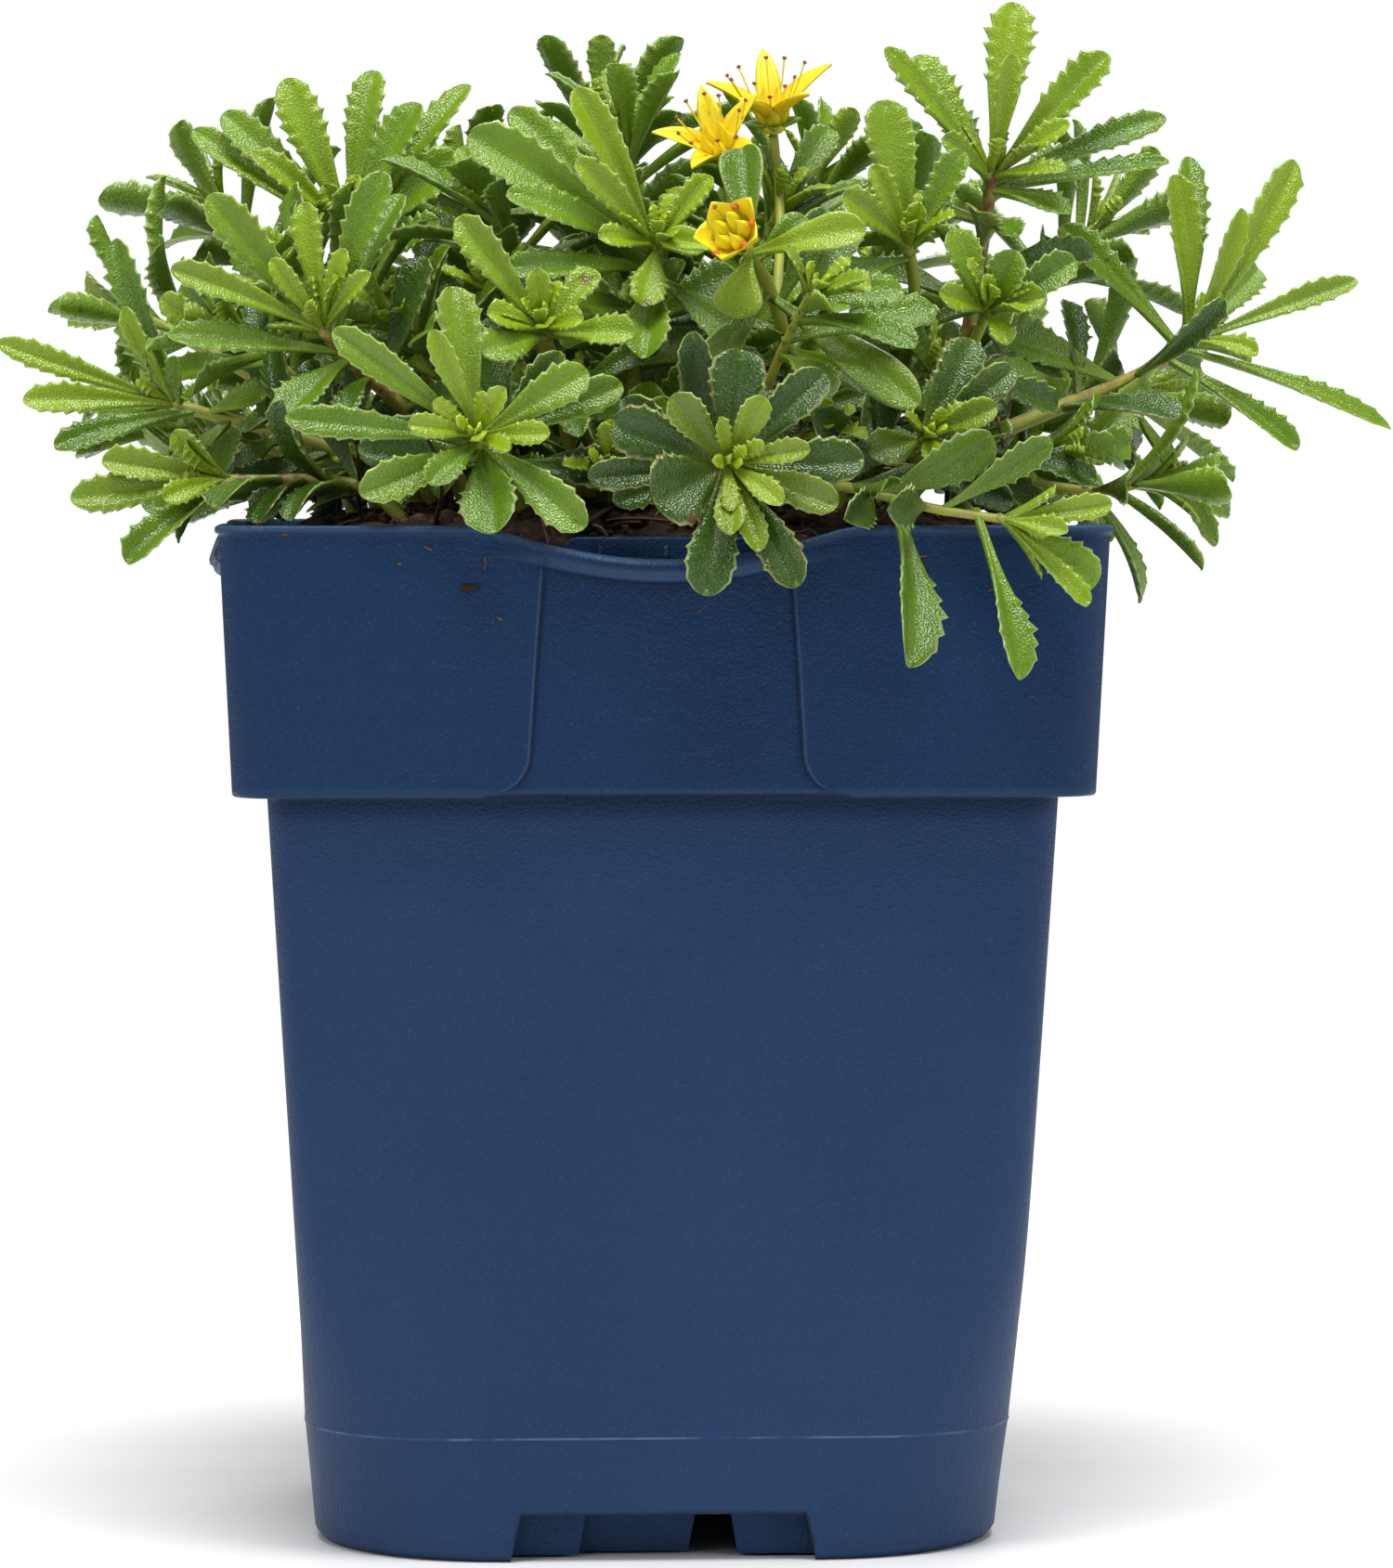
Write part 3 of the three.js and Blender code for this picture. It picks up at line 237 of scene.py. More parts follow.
def make_leaf(base, chord, look, length, width, curl, spoon=LEAF_SPOON):
    """A leaf bends away from its upper face by its curl, in radians from foot to tip."""
    facing = unit(along(look, chord, -dot(look, chord)))
    half = curl / 2
    stretch = 1 if abs(half) < 1e-6 else half / math.sin(half)
    return {
        "base": base,
        "length": length * stretch,
        "width": width,
        "spoon": spoon,
        "curl": 1e-6 if abs(curl) < 1e-6 else curl,
        "forward": along(scaled(chord, math.cos(half)), facing, math.sin(half)),
        "upper": along(scaled(facing, math.cos(half)), chord, -math.sin(half)),
    }


def leaf_point(leaf, share, across, above):
    """A point on the leaf: share of its length from the foot, then across and above the rib."""
    bend = leaf["curl"] * share
    reach = leaf["length"] / leaf["curl"]
    point = along(leaf["base"], leaf["forward"], reach * math.sin(bend))
    point = along(point, leaf["upper"], -reach * (1 - math.cos(bend)))
    forward = along(scaled(leaf["forward"], math.cos(bend)), leaf["upper"], -math.sin(bend))
    upper = along(scaled(leaf["upper"], math.cos(bend)), leaf["forward"], math.sin(bend))
    side = cross(forward, upper)
    lift = above + abs(across) * math.sin(LEAF_FOLD)
    return along(along(point, side, across * math.cos(LEAF_FOLD)), upper, lift)


def outward_chord(growth, around, opening):
    """A leaf's direction: opened away from the growth and turned round it, in degrees."""
    outward = turned(unit(cross(growth, STEM_SIDE)), growth, around)
    slant = math.radians(opening)
    return unit(along(scaled(growth, math.cos(slant)), outward, math.sin(slant)))


def leaf_half_width(leaf, share):
    """Half the leaf's width at a share of its length: narrow petiole, spoon-shaped blade."""
    if share >= LEAF_WIDEST:
        past = (share - LEAF_WIDEST) / (1 - LEAF_WIDEST)
        return leaf["width"] / 2 * max(1 - past ** TIP_BLUNTNESS, 0) ** 0.5
    k = share / LEAF_WIDEST
    opened = k ** leaf["spoon"] * (1 + (leaf["spoon"] - 0.5) * (1 - k))
    return leaf["width"] / 2 * (PETIOLE_WIDTH + (1 - PETIOLE_WIDTH) * opened)


def leaf_samples(leaf):
    """Points spread over the leaf, to test for room round it."""
    rows = math.ceil(leaf["length"] * (1 - SAMPLE_FROM) / SAMPLE_STEP)
    columns = max(2, math.ceil(leaf["width"] / SAMPLE_STEP))
    samples = []
    for row in range(rows + 1):
        share = SAMPLE_FROM + (1 - SAMPLE_FROM) * row / rows
        half = leaf_half_width(leaf, min(share, SAMPLE_WIDTH_TO))
        for column in range(columns + 1):
            across = half * (2 * column / columns - 1)
            samples.append(leaf_point(leaf, share, across, -LEAF_THICKNESS / 2))
    return samples


def meets_pot(point, margin):
    """True where a point would be inside the pot's wall or the soil, or nearer than a margin."""
    x, y, z = point
    out = max(abs(x), abs(y))
    beside = min(abs(x), abs(y))
    wall_out = SKIRT_TOP_HALF + BEAD_PROUD + margin
    wall_in = SKIRT_TOP_HALF - WALL - margin
    lip_room = LIP_BULGE if beside < LIP_HALF + 1 else 0
    pocket_room = POCKET_DEPTH + WALL if beside < POCKET_HALF + 1 else 0
    if z < POT_HEIGHT + margin and wall_in - pocket_room < out < wall_out + lip_room:
        return True
    return out <= wall_in and z < soil_height(x, y) + SOIL_ROUGHNESS + margin


# What has been placed so far, in cells as wide as the clearance.
cells = {}


def cell_of(point):
    return tuple(math.floor(value / CLEARANCE) for value in point)


def occupy(samples, owner):
    for point in samples:
        cells.setdefault(cell_of(point), []).append((point, owner))


def is_free(samples, owner, clearance=CLEARANCE):
    """True where the pot, the soil and all of other owners are further than the clearance."""
    for point in samples:
        if meets_pot(point, LEAF_TO_POT):
            return False
        i, j, k = cell_of(point)
        for a, b, c in product((i - 1, i, i + 1), (j - 1, j, j + 1), (k - 1, k, k + 1)):
            for other, other_owner in cells.get((a, b, c), ()):
                if other_owner != owner and size(less(other, point)) < clearance:
                    return False
    return True


# Ways to bend a leaf clear of its neighbours: turn about the stem, lift, and length.
BENDS = (
    (0, 0, 1), (8, 0, 1), (-8, 0, 1), (0, 8, 1), (0, -8, 1), (14, 6, 1), (-14, 6, 1), (14, -6, 1),
    (-14, -6, 1), (0, 16, 0.95), (0, -16, 0.95), (22, 0, 0.95), (-22, 0, 0.95), (24, 14, 0.9),
    (-24, 14, 0.9), (24, -14, 0.9), (-24, -14, 0.9), (0, 0, 0.8), (14, 8, 0.75), (-14, 8, 0.75),
    (36, 0, 0.85), (-36, 0, 0.85), (0, 26, 0.75), (0, -26, 0.75), (0, 0, 0.65),
)


def place_leaf(shoot, wish, clearance=CLEARANCE):
    """Adds the wished leaf in the first of its bends that finds room, or drops it."""
    point, growth = point_below_tip(shoot["path"], wish["below"])
    swing = unit(cross(wish["chord"], growth))
    look = add(growth, shoot["light"])
    spoon = wish.get("spoon", LEAF_SPOON)
    for turn, lift, share in BENDS:
        chord = turned(turned(wish["chord"], swing, lift), growth, turn)
        length = wish["length"] * share
        leaf = make_leaf(point, chord, look, length, wish["width"], wish["curl"], spoon)
        samples = leaf_samples(leaf)
        if is_free(samples, shoot["name"], clearance):
            occupy(samples, shoot["name"])
            leaf["below"] = wish["below"]
            shoot["placed"].append(leaf)
            return leaf
    return None


def listed_leaves(shoot):
    """Leaves listed one by one: how far the tip reaches right, back and up from the shoot's tip,
    the leaf's width, how far below the shoot's tip its foot stands, and how sharply it widens."""
    draw = drawer(shoot["seed"])
    wishes = []
    for right, back, up, width, below, *spoon in shoot["leaves"]:
        point, _ = point_below_tip(shoot["path"], below)
        reach = less(add(shoot["apex"], (right, back, up)), point)
        wishes.append(dict(
            below=below, chord=unit(reach), length=size(reach), width=width * FOLD_GAIN,
            curl=0.15 + 0.4 * draw(), spoon=spoon[0] if spoon else LEAF_SPOON,
        ))
    return wishes


# Leaves by rule: how far down the stem they go, how wide they open, in degrees, and their width.
SPIRAL_FIRST = 0.8
SPIRAL_REACH = 9
SPIRAL_OPENING = 18
SPIRAL_WIDENING = 62
SPIRAL_WIDTH = 4.4


def spiral_leaves(shoot):
    """Leaves by rule: round the stem by the golden angle, opening wider down the stem."""
    draw = drawer(shoot["seed"])
    wishes = []
    for i in range(shoot["count"]):
        age = i / max(shoot["count"] - 1, 1)
        below = SPIRAL_FIRST + SPIRAL_REACH * age ** 1.5
        _, growth = point_below_tip(shoot["path"], below)
        opening = SPIRAL_OPENING + SPIRAL_WIDENING * age ** 0.8 + 10 * (draw() - 0.5)
        around = GOLDEN_ANGLE * i + 360 * shoot["seed"] / 7 + 16 * (draw() - 0.5)
        grown = 0.55 + 0.45 * min(age * 2.2, 1)
        wishes.append(dict(
            below=below, chord=outward_chord(growth, around, opening),
            length=shoot["length"] * grown * (0.86 + 0.28 * draw()),
            width=SPIRAL_WIDTH * (0.6 + 0.4 * grown) * (0.85 + 0.35 * draw()),
            curl=0.1 + 0.55 * draw(),
        ))
    return wishes


# Shoots read off the plant's front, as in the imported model. Root is a place in the soil and apex
# the middle of the rosette. Tint 0 is the plant's usual green, 1 the dark brown-edged green.
FRONT_SHOOTS = (
    dict(
        name="shoot_front_left", root=(-14, -26), apex=(-19.2, -44, 116.2), lean=(-0.1, -0.75, 0.6),
        radius=0.95,
        leaves=(
            (-2.4, 3, 15, 4.6, 1), (-4.6, -3, 10.5, 2.8, 0.8), (-14.5, -2, 10.5, 3.9, 1.4),
            (-19.4, -3, 1.6, 3.4, 2), (-7, -4, 1, 2.8, 0.5), (11.2, 0, 6.4, 4.3, 1),
            (14.8, 2, 5, 4, 2.2), (7.2, -4, 0, 2.8, 0.5), (2.6, -4, 4.7, 2.5, 0.4),
            (-4.9, -5, -5, 3.8, 1.5), (11.2, -3, -10.2, 4.4, 2.2), (-11.9, -3, -6, 4.6, 4),
            (2, -4, -11, 6.3, 3.4),
        ),
    ),
    dict(
        name="shoot_front_middle", root=(2, -28), apex=(5.9, -49, 113.3), lean=(0.05, -0.85, 0.35),
        radius=0.95, tint=1,
        leaves=(
            (1.4, 1, 11.4, 6, 1.5), (-5.7, -2, 6.8, 4, 1), (-11.7, 0, 4.1, 5.4, 2),
            (-7.7, -3, -3.8, 8, 2), (9.9, 1, 9, 4.7, 2), (3.4, -3, 6.7, 3.3, 0.6),
            (8, -4, 1.5, 2.8, 0.5), (13.6, -2, 0.2, 4.7, 1.5), (10.9, -3, -4.2, 3.8, 1),
            (5.1, -5, -4.2, 3, 0.4), (2.8, -5, -8.9, 3.3, 0.8), (0, -6, -7.1, 3.3, 0.8),
            (-2.5, -4, -13.3, 5.6, 1.8), (6.8, -4, -12.4, 4.9, 1.4),
        ),
    ),
    dict(
        name="shoot_front_right", root=(9, -33), apex=(34.5, -48.5, 107.5), lean=(1, -0.12, 0.02),
        rise=(0.2, -0.5, 0.9), radius=0.7,
        leaves=(
            (-13, -9.5, -18.1, 6.1, 12.8, 3.4), (0.3, -6, -15.9, 4.4, 3.5, 3.4),
            (7.6, -3, -8.5, 2.9, 1), (8.6, -1, -6.4, 4.7, 1), (5.3, -4, -1.1, 2.6, 0.5),
            (10, -2, 1.8, 3, 0.8),
            (4, -1, 8.2, 3.3, 7.3), (-1.8, 1, 8.6, 5.6, 14), (-12, -2, 5.2, 3.5, 17),
        ),
    ),
    dict(
        name="shoot_low_right", root=(19, -24), apex=(26.8, -38, 116.1), lean=(0.2, -0.8, 0.7),
        radius=0.85, tint=0.8,
        leaves=(
            (-8, -2, 4, 4.4, 1), (-6, -3, -2, 4.6, 1.2), (3, 2, 11, 4.8, 2), (7, -3, 3, 3.4, 0.8),
            (-2, -3, 6, 3, 0.5), (1, -5, -3, 3, 0.6), (9, 0, 7, 4.2, 2),
        ),
    ),
    dict(
        name="shoot_right_rosette", root=(27, -14), apex=(34.6, -24, 129.6), lean=(0.2, -0.7, 0.8),
        radius=0.9,
        leaves=(
            (-5.5, -3, 1.2, 3.4, 0.8), (5.5, -3, 1, 3.6, 0.8), (2.4, -3, 5.8, 4.4, 1.2),
            (-1, -4, 3, 2.4, 0.4), (-4, 0, 8, 4.2, 1.6), (1.5, -5, -4, 3, 0.8), (9, 0, 5, 4.2, 2),
        ),
    ),
    dict(
        name="shoot_lower_left", root=(-27, -27), apex=(-45.2, -26, 111.6), lean=(-1, -0.1, 0.1),
        rise=(-0.5, 0, 0.8), radius=0.85, tint=0.5,
        leaves=(
            (-15.6, -3, -2, 4, 1), (-12.4, -2, 2, 4, 0.6), (-9.8, -5, -8.6, 4.4, 1.2),
            (-0.9, -10, -7.5, 4.6, 6), (-5, -3, 5, 3, 0.6), (-6, -5, -2, 3, 0.4),
        ),
    ),
    dict(
        name="shoot_left", root=(-27, -15), apex=(-50.9, -14, 119.5), lean=(-1, 0, 0.35),
        rise=(-0.4, -0.1, 0.9), radius=1,
        leaves=(
            (-18, -2, 6.5, 3, 0.6), (-5.9, 2, 17.4, 4.1, 1.4), (-4.7, -3, 10.2, 2.6, 0.6),
            (-15.3, -4, 0.4, 3.5, 0.6), (-12, -5, -4.5, 3.6, 3), (-2, -7, -11.5, 5.2, 6.5),
            (0.5, -3, 5, 2.5, 1.2), (10.3, -3, 1.5, 3.5, 4), (-5, 9, 10, 4.2, 2.4),
            (-9, 8, 1, 4.2, 3),
        ),
    ),
    dict(
        name="shoot_upper_left", root=(-20, -16), apex=(-35.1, -25, 127.4), lean=(-0.5, -0.4, 0.8),
        rise=(-0.1, 0, 1), radius=1,
        leaves=(
            (-11.5, -2, 13.5, 4.4, 1), (-15.3, -4, 6, 3.5, 1), (-1.7, 1, 13, 3.4, 0.8),
            (6.8, -1, 16, 4.5, 1.6), (8.5, 5, 14, 4, 2), (-5, -3, 7, 2.6, 0.4),
            (2.6, -3, 8, 2.6, 0.4),
            (5.2, -4, 5.5, 2.8, 0.6), (-15.7, -5, -1, 3.8, 4), (-3.8, -7, -9.7, 5, 5),
        ),
    ),
    dict(
        name="shoot_left_top", root=(-14, 0), apex=(-32.5, 2, 138.7), lean=(-0.35, -0.2, 0.9),
        radius=1.05,
        leaves=(
            (-6.4, 1, 16, 4.5, 1), (-10, -2, 7.9, 3.6, 0.8), (3.2, 3, 17, 4.5, 1.2),
            (8, -2, 13.2, 5.2, 1.4), (13.4, 3, 15.5, 4, 2), (-13.2, 4, 12.4, 4, 1.4),
            (-16.6, 5, 10.5, 3.6, 2), (12.4, -3, 7.5, 5.5, 2.4), (10, -6, 0.4, 4.2, 5),
            (11.7, -4, -5.6, 4.4, 9), (1.3, -2, 5.5, 2.6, 0.4), (-2.2, -2, 4.5, 2.6, 0.4),
        ),
    ),
    dict(
        name="shoot_middle", root=(-4, -14), apex=(-0.2, -24, 136.2), lean=(-0.1, -0.6, 0.8),
        radius=1.05,
        leaves=(
            (-8.5, -1, 15.9, 4.5, 0.8), (-15.1, 5, 14, 4.2, 2), (-19.5, 0, 11.2, 6, 2),
            (-15.7, -4, 4.9, 4.5, 1.2), (-8.4, -4, 8.4, 3.5, 0.8), (-6.2, -5, 0.5, 3, 0.4),
            (3.7, -5, -0.3, 2.8, 0.4), (-1.5, -7, -5.8, 4, 0.8), (4.8, -2, 7.3, 3.4, 0.6),
            (8.5, -5, -10.6, 4, 4), (-15.8, -5, -3.1, 4.4, 3), (-1.6, -8, -12.2, 5.5, 5),
        ),
    ),
    dict(
        name="shoot_middle_left", root=(-9, -22), apex=(-12.2, -32, 127.2), lean=(-0.3, -0.6, 0.8),
        radius=0.95,
        leaves=(
            (-8.7, 0, 11.4, 4, 1), (-5.8, -4, 1.5, 3.4, 0.6), (-6.3, -6, -2.9, 5, 1.2),
            (4, -4, 0.8, 3, 0.5), (9.3, -4, -0.7, 4, 1), (-0.8, -2, 6, 3, 0.4), (5.5, 2, 6, 3.5, 1),
        ),
    ),
    dict(
        name="shoot_right_top", root=(33, -10), apex=(36, -12, 144.1), lean=(0.1, -0.25, 1),
        rise=(-0.1, 0.1, 1), radius=1.1,
        leaves=(
            (2.6, 2, 18.1, 4.9, 0.8), (1.9, -3, 12.4, 2.9, 0.6), (-11.5, -1, 13.1, 3.4, 0.8),
            (-8, 4, 12.5, 4.4, 1), (12.2, -1, 12.5, 4.4, 0.8), (18.7, 2, 6, 3.4, 1.4),
            (18.7, -1, 1.2, 2.6, 2), (7.8, -4, 5.1, 2.8, 0.5), (7.2, -6, 0, 2.8, 0.6),
            (7.8, -5, -4.6, 3.4, 2), (-5.6, -4, 3.5, 3, 1), (-15.3, -3, -2.7, 4.4, 5.5),
            (2, -7, -7, 3.4, 5), (-4, 9, 7, 4.2, 1.6), (10, 9, 2, 4.4, 3),
        ),
    ),
    dict(
        name="shoot_right_inner", root=(24, -4), apex=(26.5, -19, 136.4), lean=(-0.3, -0.45, 0.8),
        rise=(0.1, 0, 1), radius=0.95,
        leaves=(
            (-2.7, 1, 15, 5.4, 1), (-7.3, -5, 4.9, 3.7, 0.8), (-10, -5, -4.7, 4, 2),
            (1, -4, 4, 2.6, 0.4), (-4, -3, 8, 3, 0.6), (5, 2, 10, 4, 1.4),
        ),
    ),
    dict(
        name="shoot_far_right", root=(25, -19), apex=(58.6, -4, 126.6), lean=(0.75, 0.1, 0.6),
        rise=(0.7, 0, 0.8), radius=1.05,
        leaves=(
            (-2.2, 0, 17.7, 4.5, 0.8), (0, 6, 19.9, 4, 1.4), (4.9, -2, 14, 3, 0.6),
            (11.1, 2, 19.3, 4.1, 0.8), (17.5, -1, 6.3, 3, 0.8), (21, -2, -9.6, 2.8, 2),
            (6.3, -4, -1.6, 3, 0.5), (10.7, -4, -11.8, 3.5, 4), (-14.4, 2, 12.1, 4.5, 2),
            (-11.4, -6, -11.3, 5.4, 5), (1.6, -6, -22.2, 2.8, 11), (0.5, -2, 5, 2.4, 0.4),
            (-23, -4, 0.5, 5.5, 10.5), (8, 9, 8, 4.2, 2.6), (2, 10, -3, 4.2, 5),
        ),
    ),
)

# The flowering stem: broad smooth bracts round the bud, with two thin branches above it.
FLOWER_SHOOT = dict(
    name="shoot_flowering", root=(15, -12), apex=(8.3, -33, 135.8), lean=(-0.4, -0.8, 0.35),
    rise=(0.1, -0.2, 1), radius=1,
    leaves=(
        (0.3, 7, 10.2, 5.2, 2.2), (-0.9, -0.5, -7.7, 5.2, 2.2), (-8, 6.7, 0.8, 3.2, 2.2),
        (12.4, -3.2, 1.3, 4.4, 2.2), (6.8, 3, 2.8, 3.4, 4),
        (17.6, -5, -16.8, 5, 10),
    ),
)
BRANCHES = (
    dict(start=12, bend=(13.4, -13, 139.3), to=(12.9, -9.6, 148.2)),
    dict(start=6, bend=(8.1, -17.4, 139.9), to=(7.4, -15.4, 145)),
)
BRANCH_RADIUS = 0.55
# The bracts round the bud stand this near the shoot's tip.
BRACTS_FROM_TIP = 3.5
SEAT_GAP = 0.5
FLOWERS = (
    dict(name="flower_upper", end=BRANCHES[0]["to"], facing=(-0.1, -0.5, 1), reach=9),
    dict(name="flower_lower", end=BRANCHES[1]["to"], facing=(-0.3, -0.75, 0.65), reach=8),
    dict(name="flower_bud", end=FLOWER_SHOOT["apex"], facing=FLOWER_SHOOT["lean"], reach=4.6),
)
for flower in FLOWERS:
    flower["seat"] = along(flower["end"], unit(flower["facing"]), SEAT_GAP)

# Shoots behind the front ones and round the back, the leaves of each by rule.
FILLING_SHOOTS = (
    dict(name="shoot_back_centre", root=(-4, 6), apex=(-4.2, 16, 151.1), lean=(0, 0.15, 1)),
    dict(name="shoot_inner_right", root=(12, 4), apex=(18.3, 5, 144.4), lean=(0.2, -0.1, 1)),
    dict(name="shoot_left_back", root=(-22, 14), apex=(-46.6, 22, 142.2), lean=(-0.5, 0.2, 0.8)),
    dict(name="shoot_left_edge", root=(-31, 4), apex=(-54.6, 12, 129.5), lean=(-0.8, 0.1, 0.5)),
    dict(name="shoot_right_back", root=(27, 8), apex=(50, 18, 139.3), lean=(0.5, 0.2, 0.8)),
    dict(name="shoot_right_edge", root=(33, 4), apex=(56.1, 16, 122), lean=(0.9, 0.1, 0.3)),
    dict(name="shoot_back_right_low", root=(26, 26), apex=(44, 46, 120), lean=(0.6, 0.6, 0.4)),
    dict(name="shoot_back_low", root=(6, 30), apex=(13, 54, 118), lean=(0.1, 0.9, 0.4)),
    dict(name="shoot_back_left_low", root=(-16, 28), apex=(-18, 54, 120), lean=(-0.1, 0.9, 0.5)),
    dict(name="shoot_corner_left", root=(-29, 26), apex=(-46, 44, 118), lean=(-0.7, 0.6, 0.4)),
    dict(name="shoot_back_right_top", root=(17, 20), apex=(30, 30, 138), lean=(0.3, 0.3, 0.9)),
    dict(name="shoot_back_top", root=(2, 20), apex=(6, 38, 138), lean=(0.05, 0.4, 0.9)),
    dict(name="shoot_back_left_top", root=(-14, 18), apex=(-22, 34, 137), lean=(-0.2, 0.4, 0.9)),
)
FILLING_RADIUS = 1
FILLING_LEAVES = 10
FILLING_LENGTH = 17


def planned_shoots():
    """All main shoots with their seeds, stems and the side that their leaves turn to."""
    shoots = [dict(FLOWER_SHOOT)] + [dict(shoot) for shoot in FRONT_SHOOTS]
    by_rule = dict(radius=FILLING_RADIUS, count=FILLING_LEAVES, length=FILLING_LENGTH)
    shoots += [{**shoot, **by_rule} for shoot in FILLING_SHOOTS]
    for index, shoot in enumerate(shoots):
        shoot["seed"] = index + 1
        shoot["path"] = stem_path(shoot)
        shoot["placed"] = []
        shoot["light"] = light_from_heart(shoot["apex"])
        if "leaves" in shoot:
            shoot["light"] = scaled(LIGHT_SIDE, FRONT_PULL)
    return shoots


def stem_samples(path):
    samples = []
    for before, after in zip(path, path[1:]):
        parts = math.ceil(size(less(after, before)) / SAMPLE_STEP)
        for part in range(parts):
            samples.append(along(before, less(after, before), part / parts))
    return samples


def light_from_heart(apex):
    """The pull of the light outwards from the plant's heart."""
    return scaled(unit(less(apex, PLANT_HEART)), OUTWARD_PULL)


def catmull(points, parts):
    """A centripetal Catmull-Rom curve through the points, as one point more than its parts."""
    curve = []
    for part in range(parts + 1):
        whole = part / parts * (len(points) - 1)
        i = min(int(whole), len(points) - 2)
        p1, p2 = points[i], points[i + 1]
        p0 = points[i - 1] if i > 0 else less(scaled(p1, 2), p2)
        p3 = points[i + 2] if i + 2 < len(points) else less(scaled(p2, 2), p1)
        d0, d1, d2 = (max(size(less(b, a)) ** 0.5, 1e-4) for a, b in ((p0, p1), (p1, p2), (p2, p3)))
        m1 = along(along(scaled(less(p1, p0), 1 / d0), less(p2, p0), -1 / (d0 + d1)),
                   less(p2, p1), 1 / d1)
        m2 = along(along(scaled(less(p2, p1), 1 / d1), less(p3, p1), -1 / (d1 + d2)),
                   less(p3, p2), 1 / d2)
        curve.append(hermite(p1, scaled(m1, d1), p2, scaled(m2, d1), whole - i))
    return curve


def branch_path(shoot, branch):
    point, _ = point_below_tip(shoot["path"], branch["start"])
    return catmull([point, branch["bend"], branch["to"]], 5)


def flower_samples(flower):
    """Points round a flower's middle and out to its petals, to keep its room."""
    up = unit(flower["facing"])
    seat, reach = flower["seat"], flower["reach"]
    sideways = unit(cross(up, FLOWER_SIDE))
    samples = []
    for height in (0, 1.8, 3.6):
        spread = reach * 0.9 if height > 3 else 2 + height * 0.8
        samples.append(along(seat, up, height))
        for i in range(12):
            outward = turned(sideways, up, 30 * i)
            samples.append(along(along(seat, up, height), outward, spread))
            samples.append(along(along(seat, up, height * 0.8), outward, spread * 0.5))
    return samples


def grow_plant():
    """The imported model's shoots, each leaf placed in the same order and with the same draws."""
    shoots = planned_shoots()
    for shoot in shoots:
        occupy(stem_samples(shoot["path"]), shoot["name"])
    for branch in BRANCHES:
        occupy(stem_samples(branch_path(shoots[0], branch)), shoots[0]["name"])
    for flower in FLOWERS:
        occupy(flower_samples(flower), flower["name"])
    for shoot in shoots:
        wishes = listed_leaves(shoot) if "leaves" in shoot else spiral_leaves(shoot)
        for wish in wishes:
            place_leaf(shoot, wish)
    return shoots


def keep_clear(place, reach, depth, owner):
    """Keeps the room in front of a flower or a heart free of the finer leaves."""
    x, y, z = place
    steps = np.arange(-reach, reach + 0.1, 2)
    samples = [
        (x + float(right), y - back, z + float(up))
        for right in steps for up in steps for back in range(2, depth, 2)
    ]
    occupy(samples, owner)


# The finer leaves lower on each stem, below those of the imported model.
UNDER_LEAVES = 9
UNDER_CLEARANCE = 1.15
UNDER_SEED = 500
# How far below the tip they begin: under listed leaves, and under leaves by rule.
UNDER_FROM = 8
UNDER_FROM_BY_RULE = 10

# Short side shoots that fill the plant between the main ones, within a dome.
SIDE_SHOOTS = 64
SIDE_TRIES = 4000
SIDE_SPACING = 9.5
SIDE_LEAVES = 12
SIDE_LENGTH = 14.5
SIDE_RADIUS = 0.7
SIDE_CLEARANCE = 1.4
SIDE_SEED = 321
SIDE_LEAF_SEED = 600
# A side shoot is rooted under its tip, drawn in towards the pot's middle and kept inside it.
SIDE_ROOT_SHARE = 0.6
SIDE_ROOT_REACH = 34
# It leans outwards by its place over this, for so much growth upwards.
SIDE_LEAN_REACH = 50
SIDE_LEAN_UP = 0.7
# Its stem has to find room from this height above the soil.
SIDE_STEM_FROM_SOIL = 2.2
DOME_HALF_X = 56
DOME_HALF_Y = 50
DOME_FOOT = 111
DOME_TOP = 149
DOME_DEPTH = 30


def grow_side_shoots(shoots):
    """Short shoots at seeded places in the dome, each where it and its stem find room."""
    draw = drawer(SIDE_SEED)
    apexes = [shoot["apex"] for shoot in shoots]
    grown = []
    for _ in range(SIDE_TRIES):
        if len(grown) == SIDE_SHOOTS:
            break
        x, y = DOME_HALF_X * (2 * draw() - 1), DOME_HALF_Y * (2 * draw() - 1)
        out = (x / DOME_HALF_X) ** 2 + (y / DOME_HALF_Y) ** 2
        depth = DOME_DEPTH * draw()
        if out > 1:
            continue
        z = DOME_FOOT + (DOME_TOP - DOME_FOOT) * math.sqrt(1 - out) - depth
        apex = (x, y, z)
        if z < DOME_FOOT or any(size(less(apex, other)) < SIDE_SPACING for other in apexes):
            continue
        name = f"side_shoot_{len(grown) + 1}"
        root = [
            max(-SIDE_ROOT_REACH, min(SIDE_ROOT_REACH, SIDE_ROOT_SHARE * place)) for place in (x, y)
        ]
        shoot = dict(
            name=name, root=root, apex=apex, radius=SIDE_RADIUS, count=SIDE_LEAVES,
            lean=(x / SIDE_LEAN_REACH, y / SIDE_LEAN_REACH, SIDE_LEAN_UP), length=SIDE_LENGTH,
            seed=SIDE_LEAF_SEED + len(grown), placed=[], light=light_from_heart(apex),
        )
        shoot["path"] = stem_path(shoot)
        above = [
            p for p in stem_samples(shoot["path"])
            if p[2] > soil_height(p[0], p[1]) + SIDE_STEM_FROM_SOIL
        ]
        if not is_free(above, name, SIDE_CLEARANCE):
            continue
        occupy(above, name)
        apexes.append(apex)
        grown.append(shoot)
    for shoot in grown:
        for wish in spiral_leaves(shoot):
            place_leaf(shoot, wish, UNDER_CLEARANCE)
    return grown


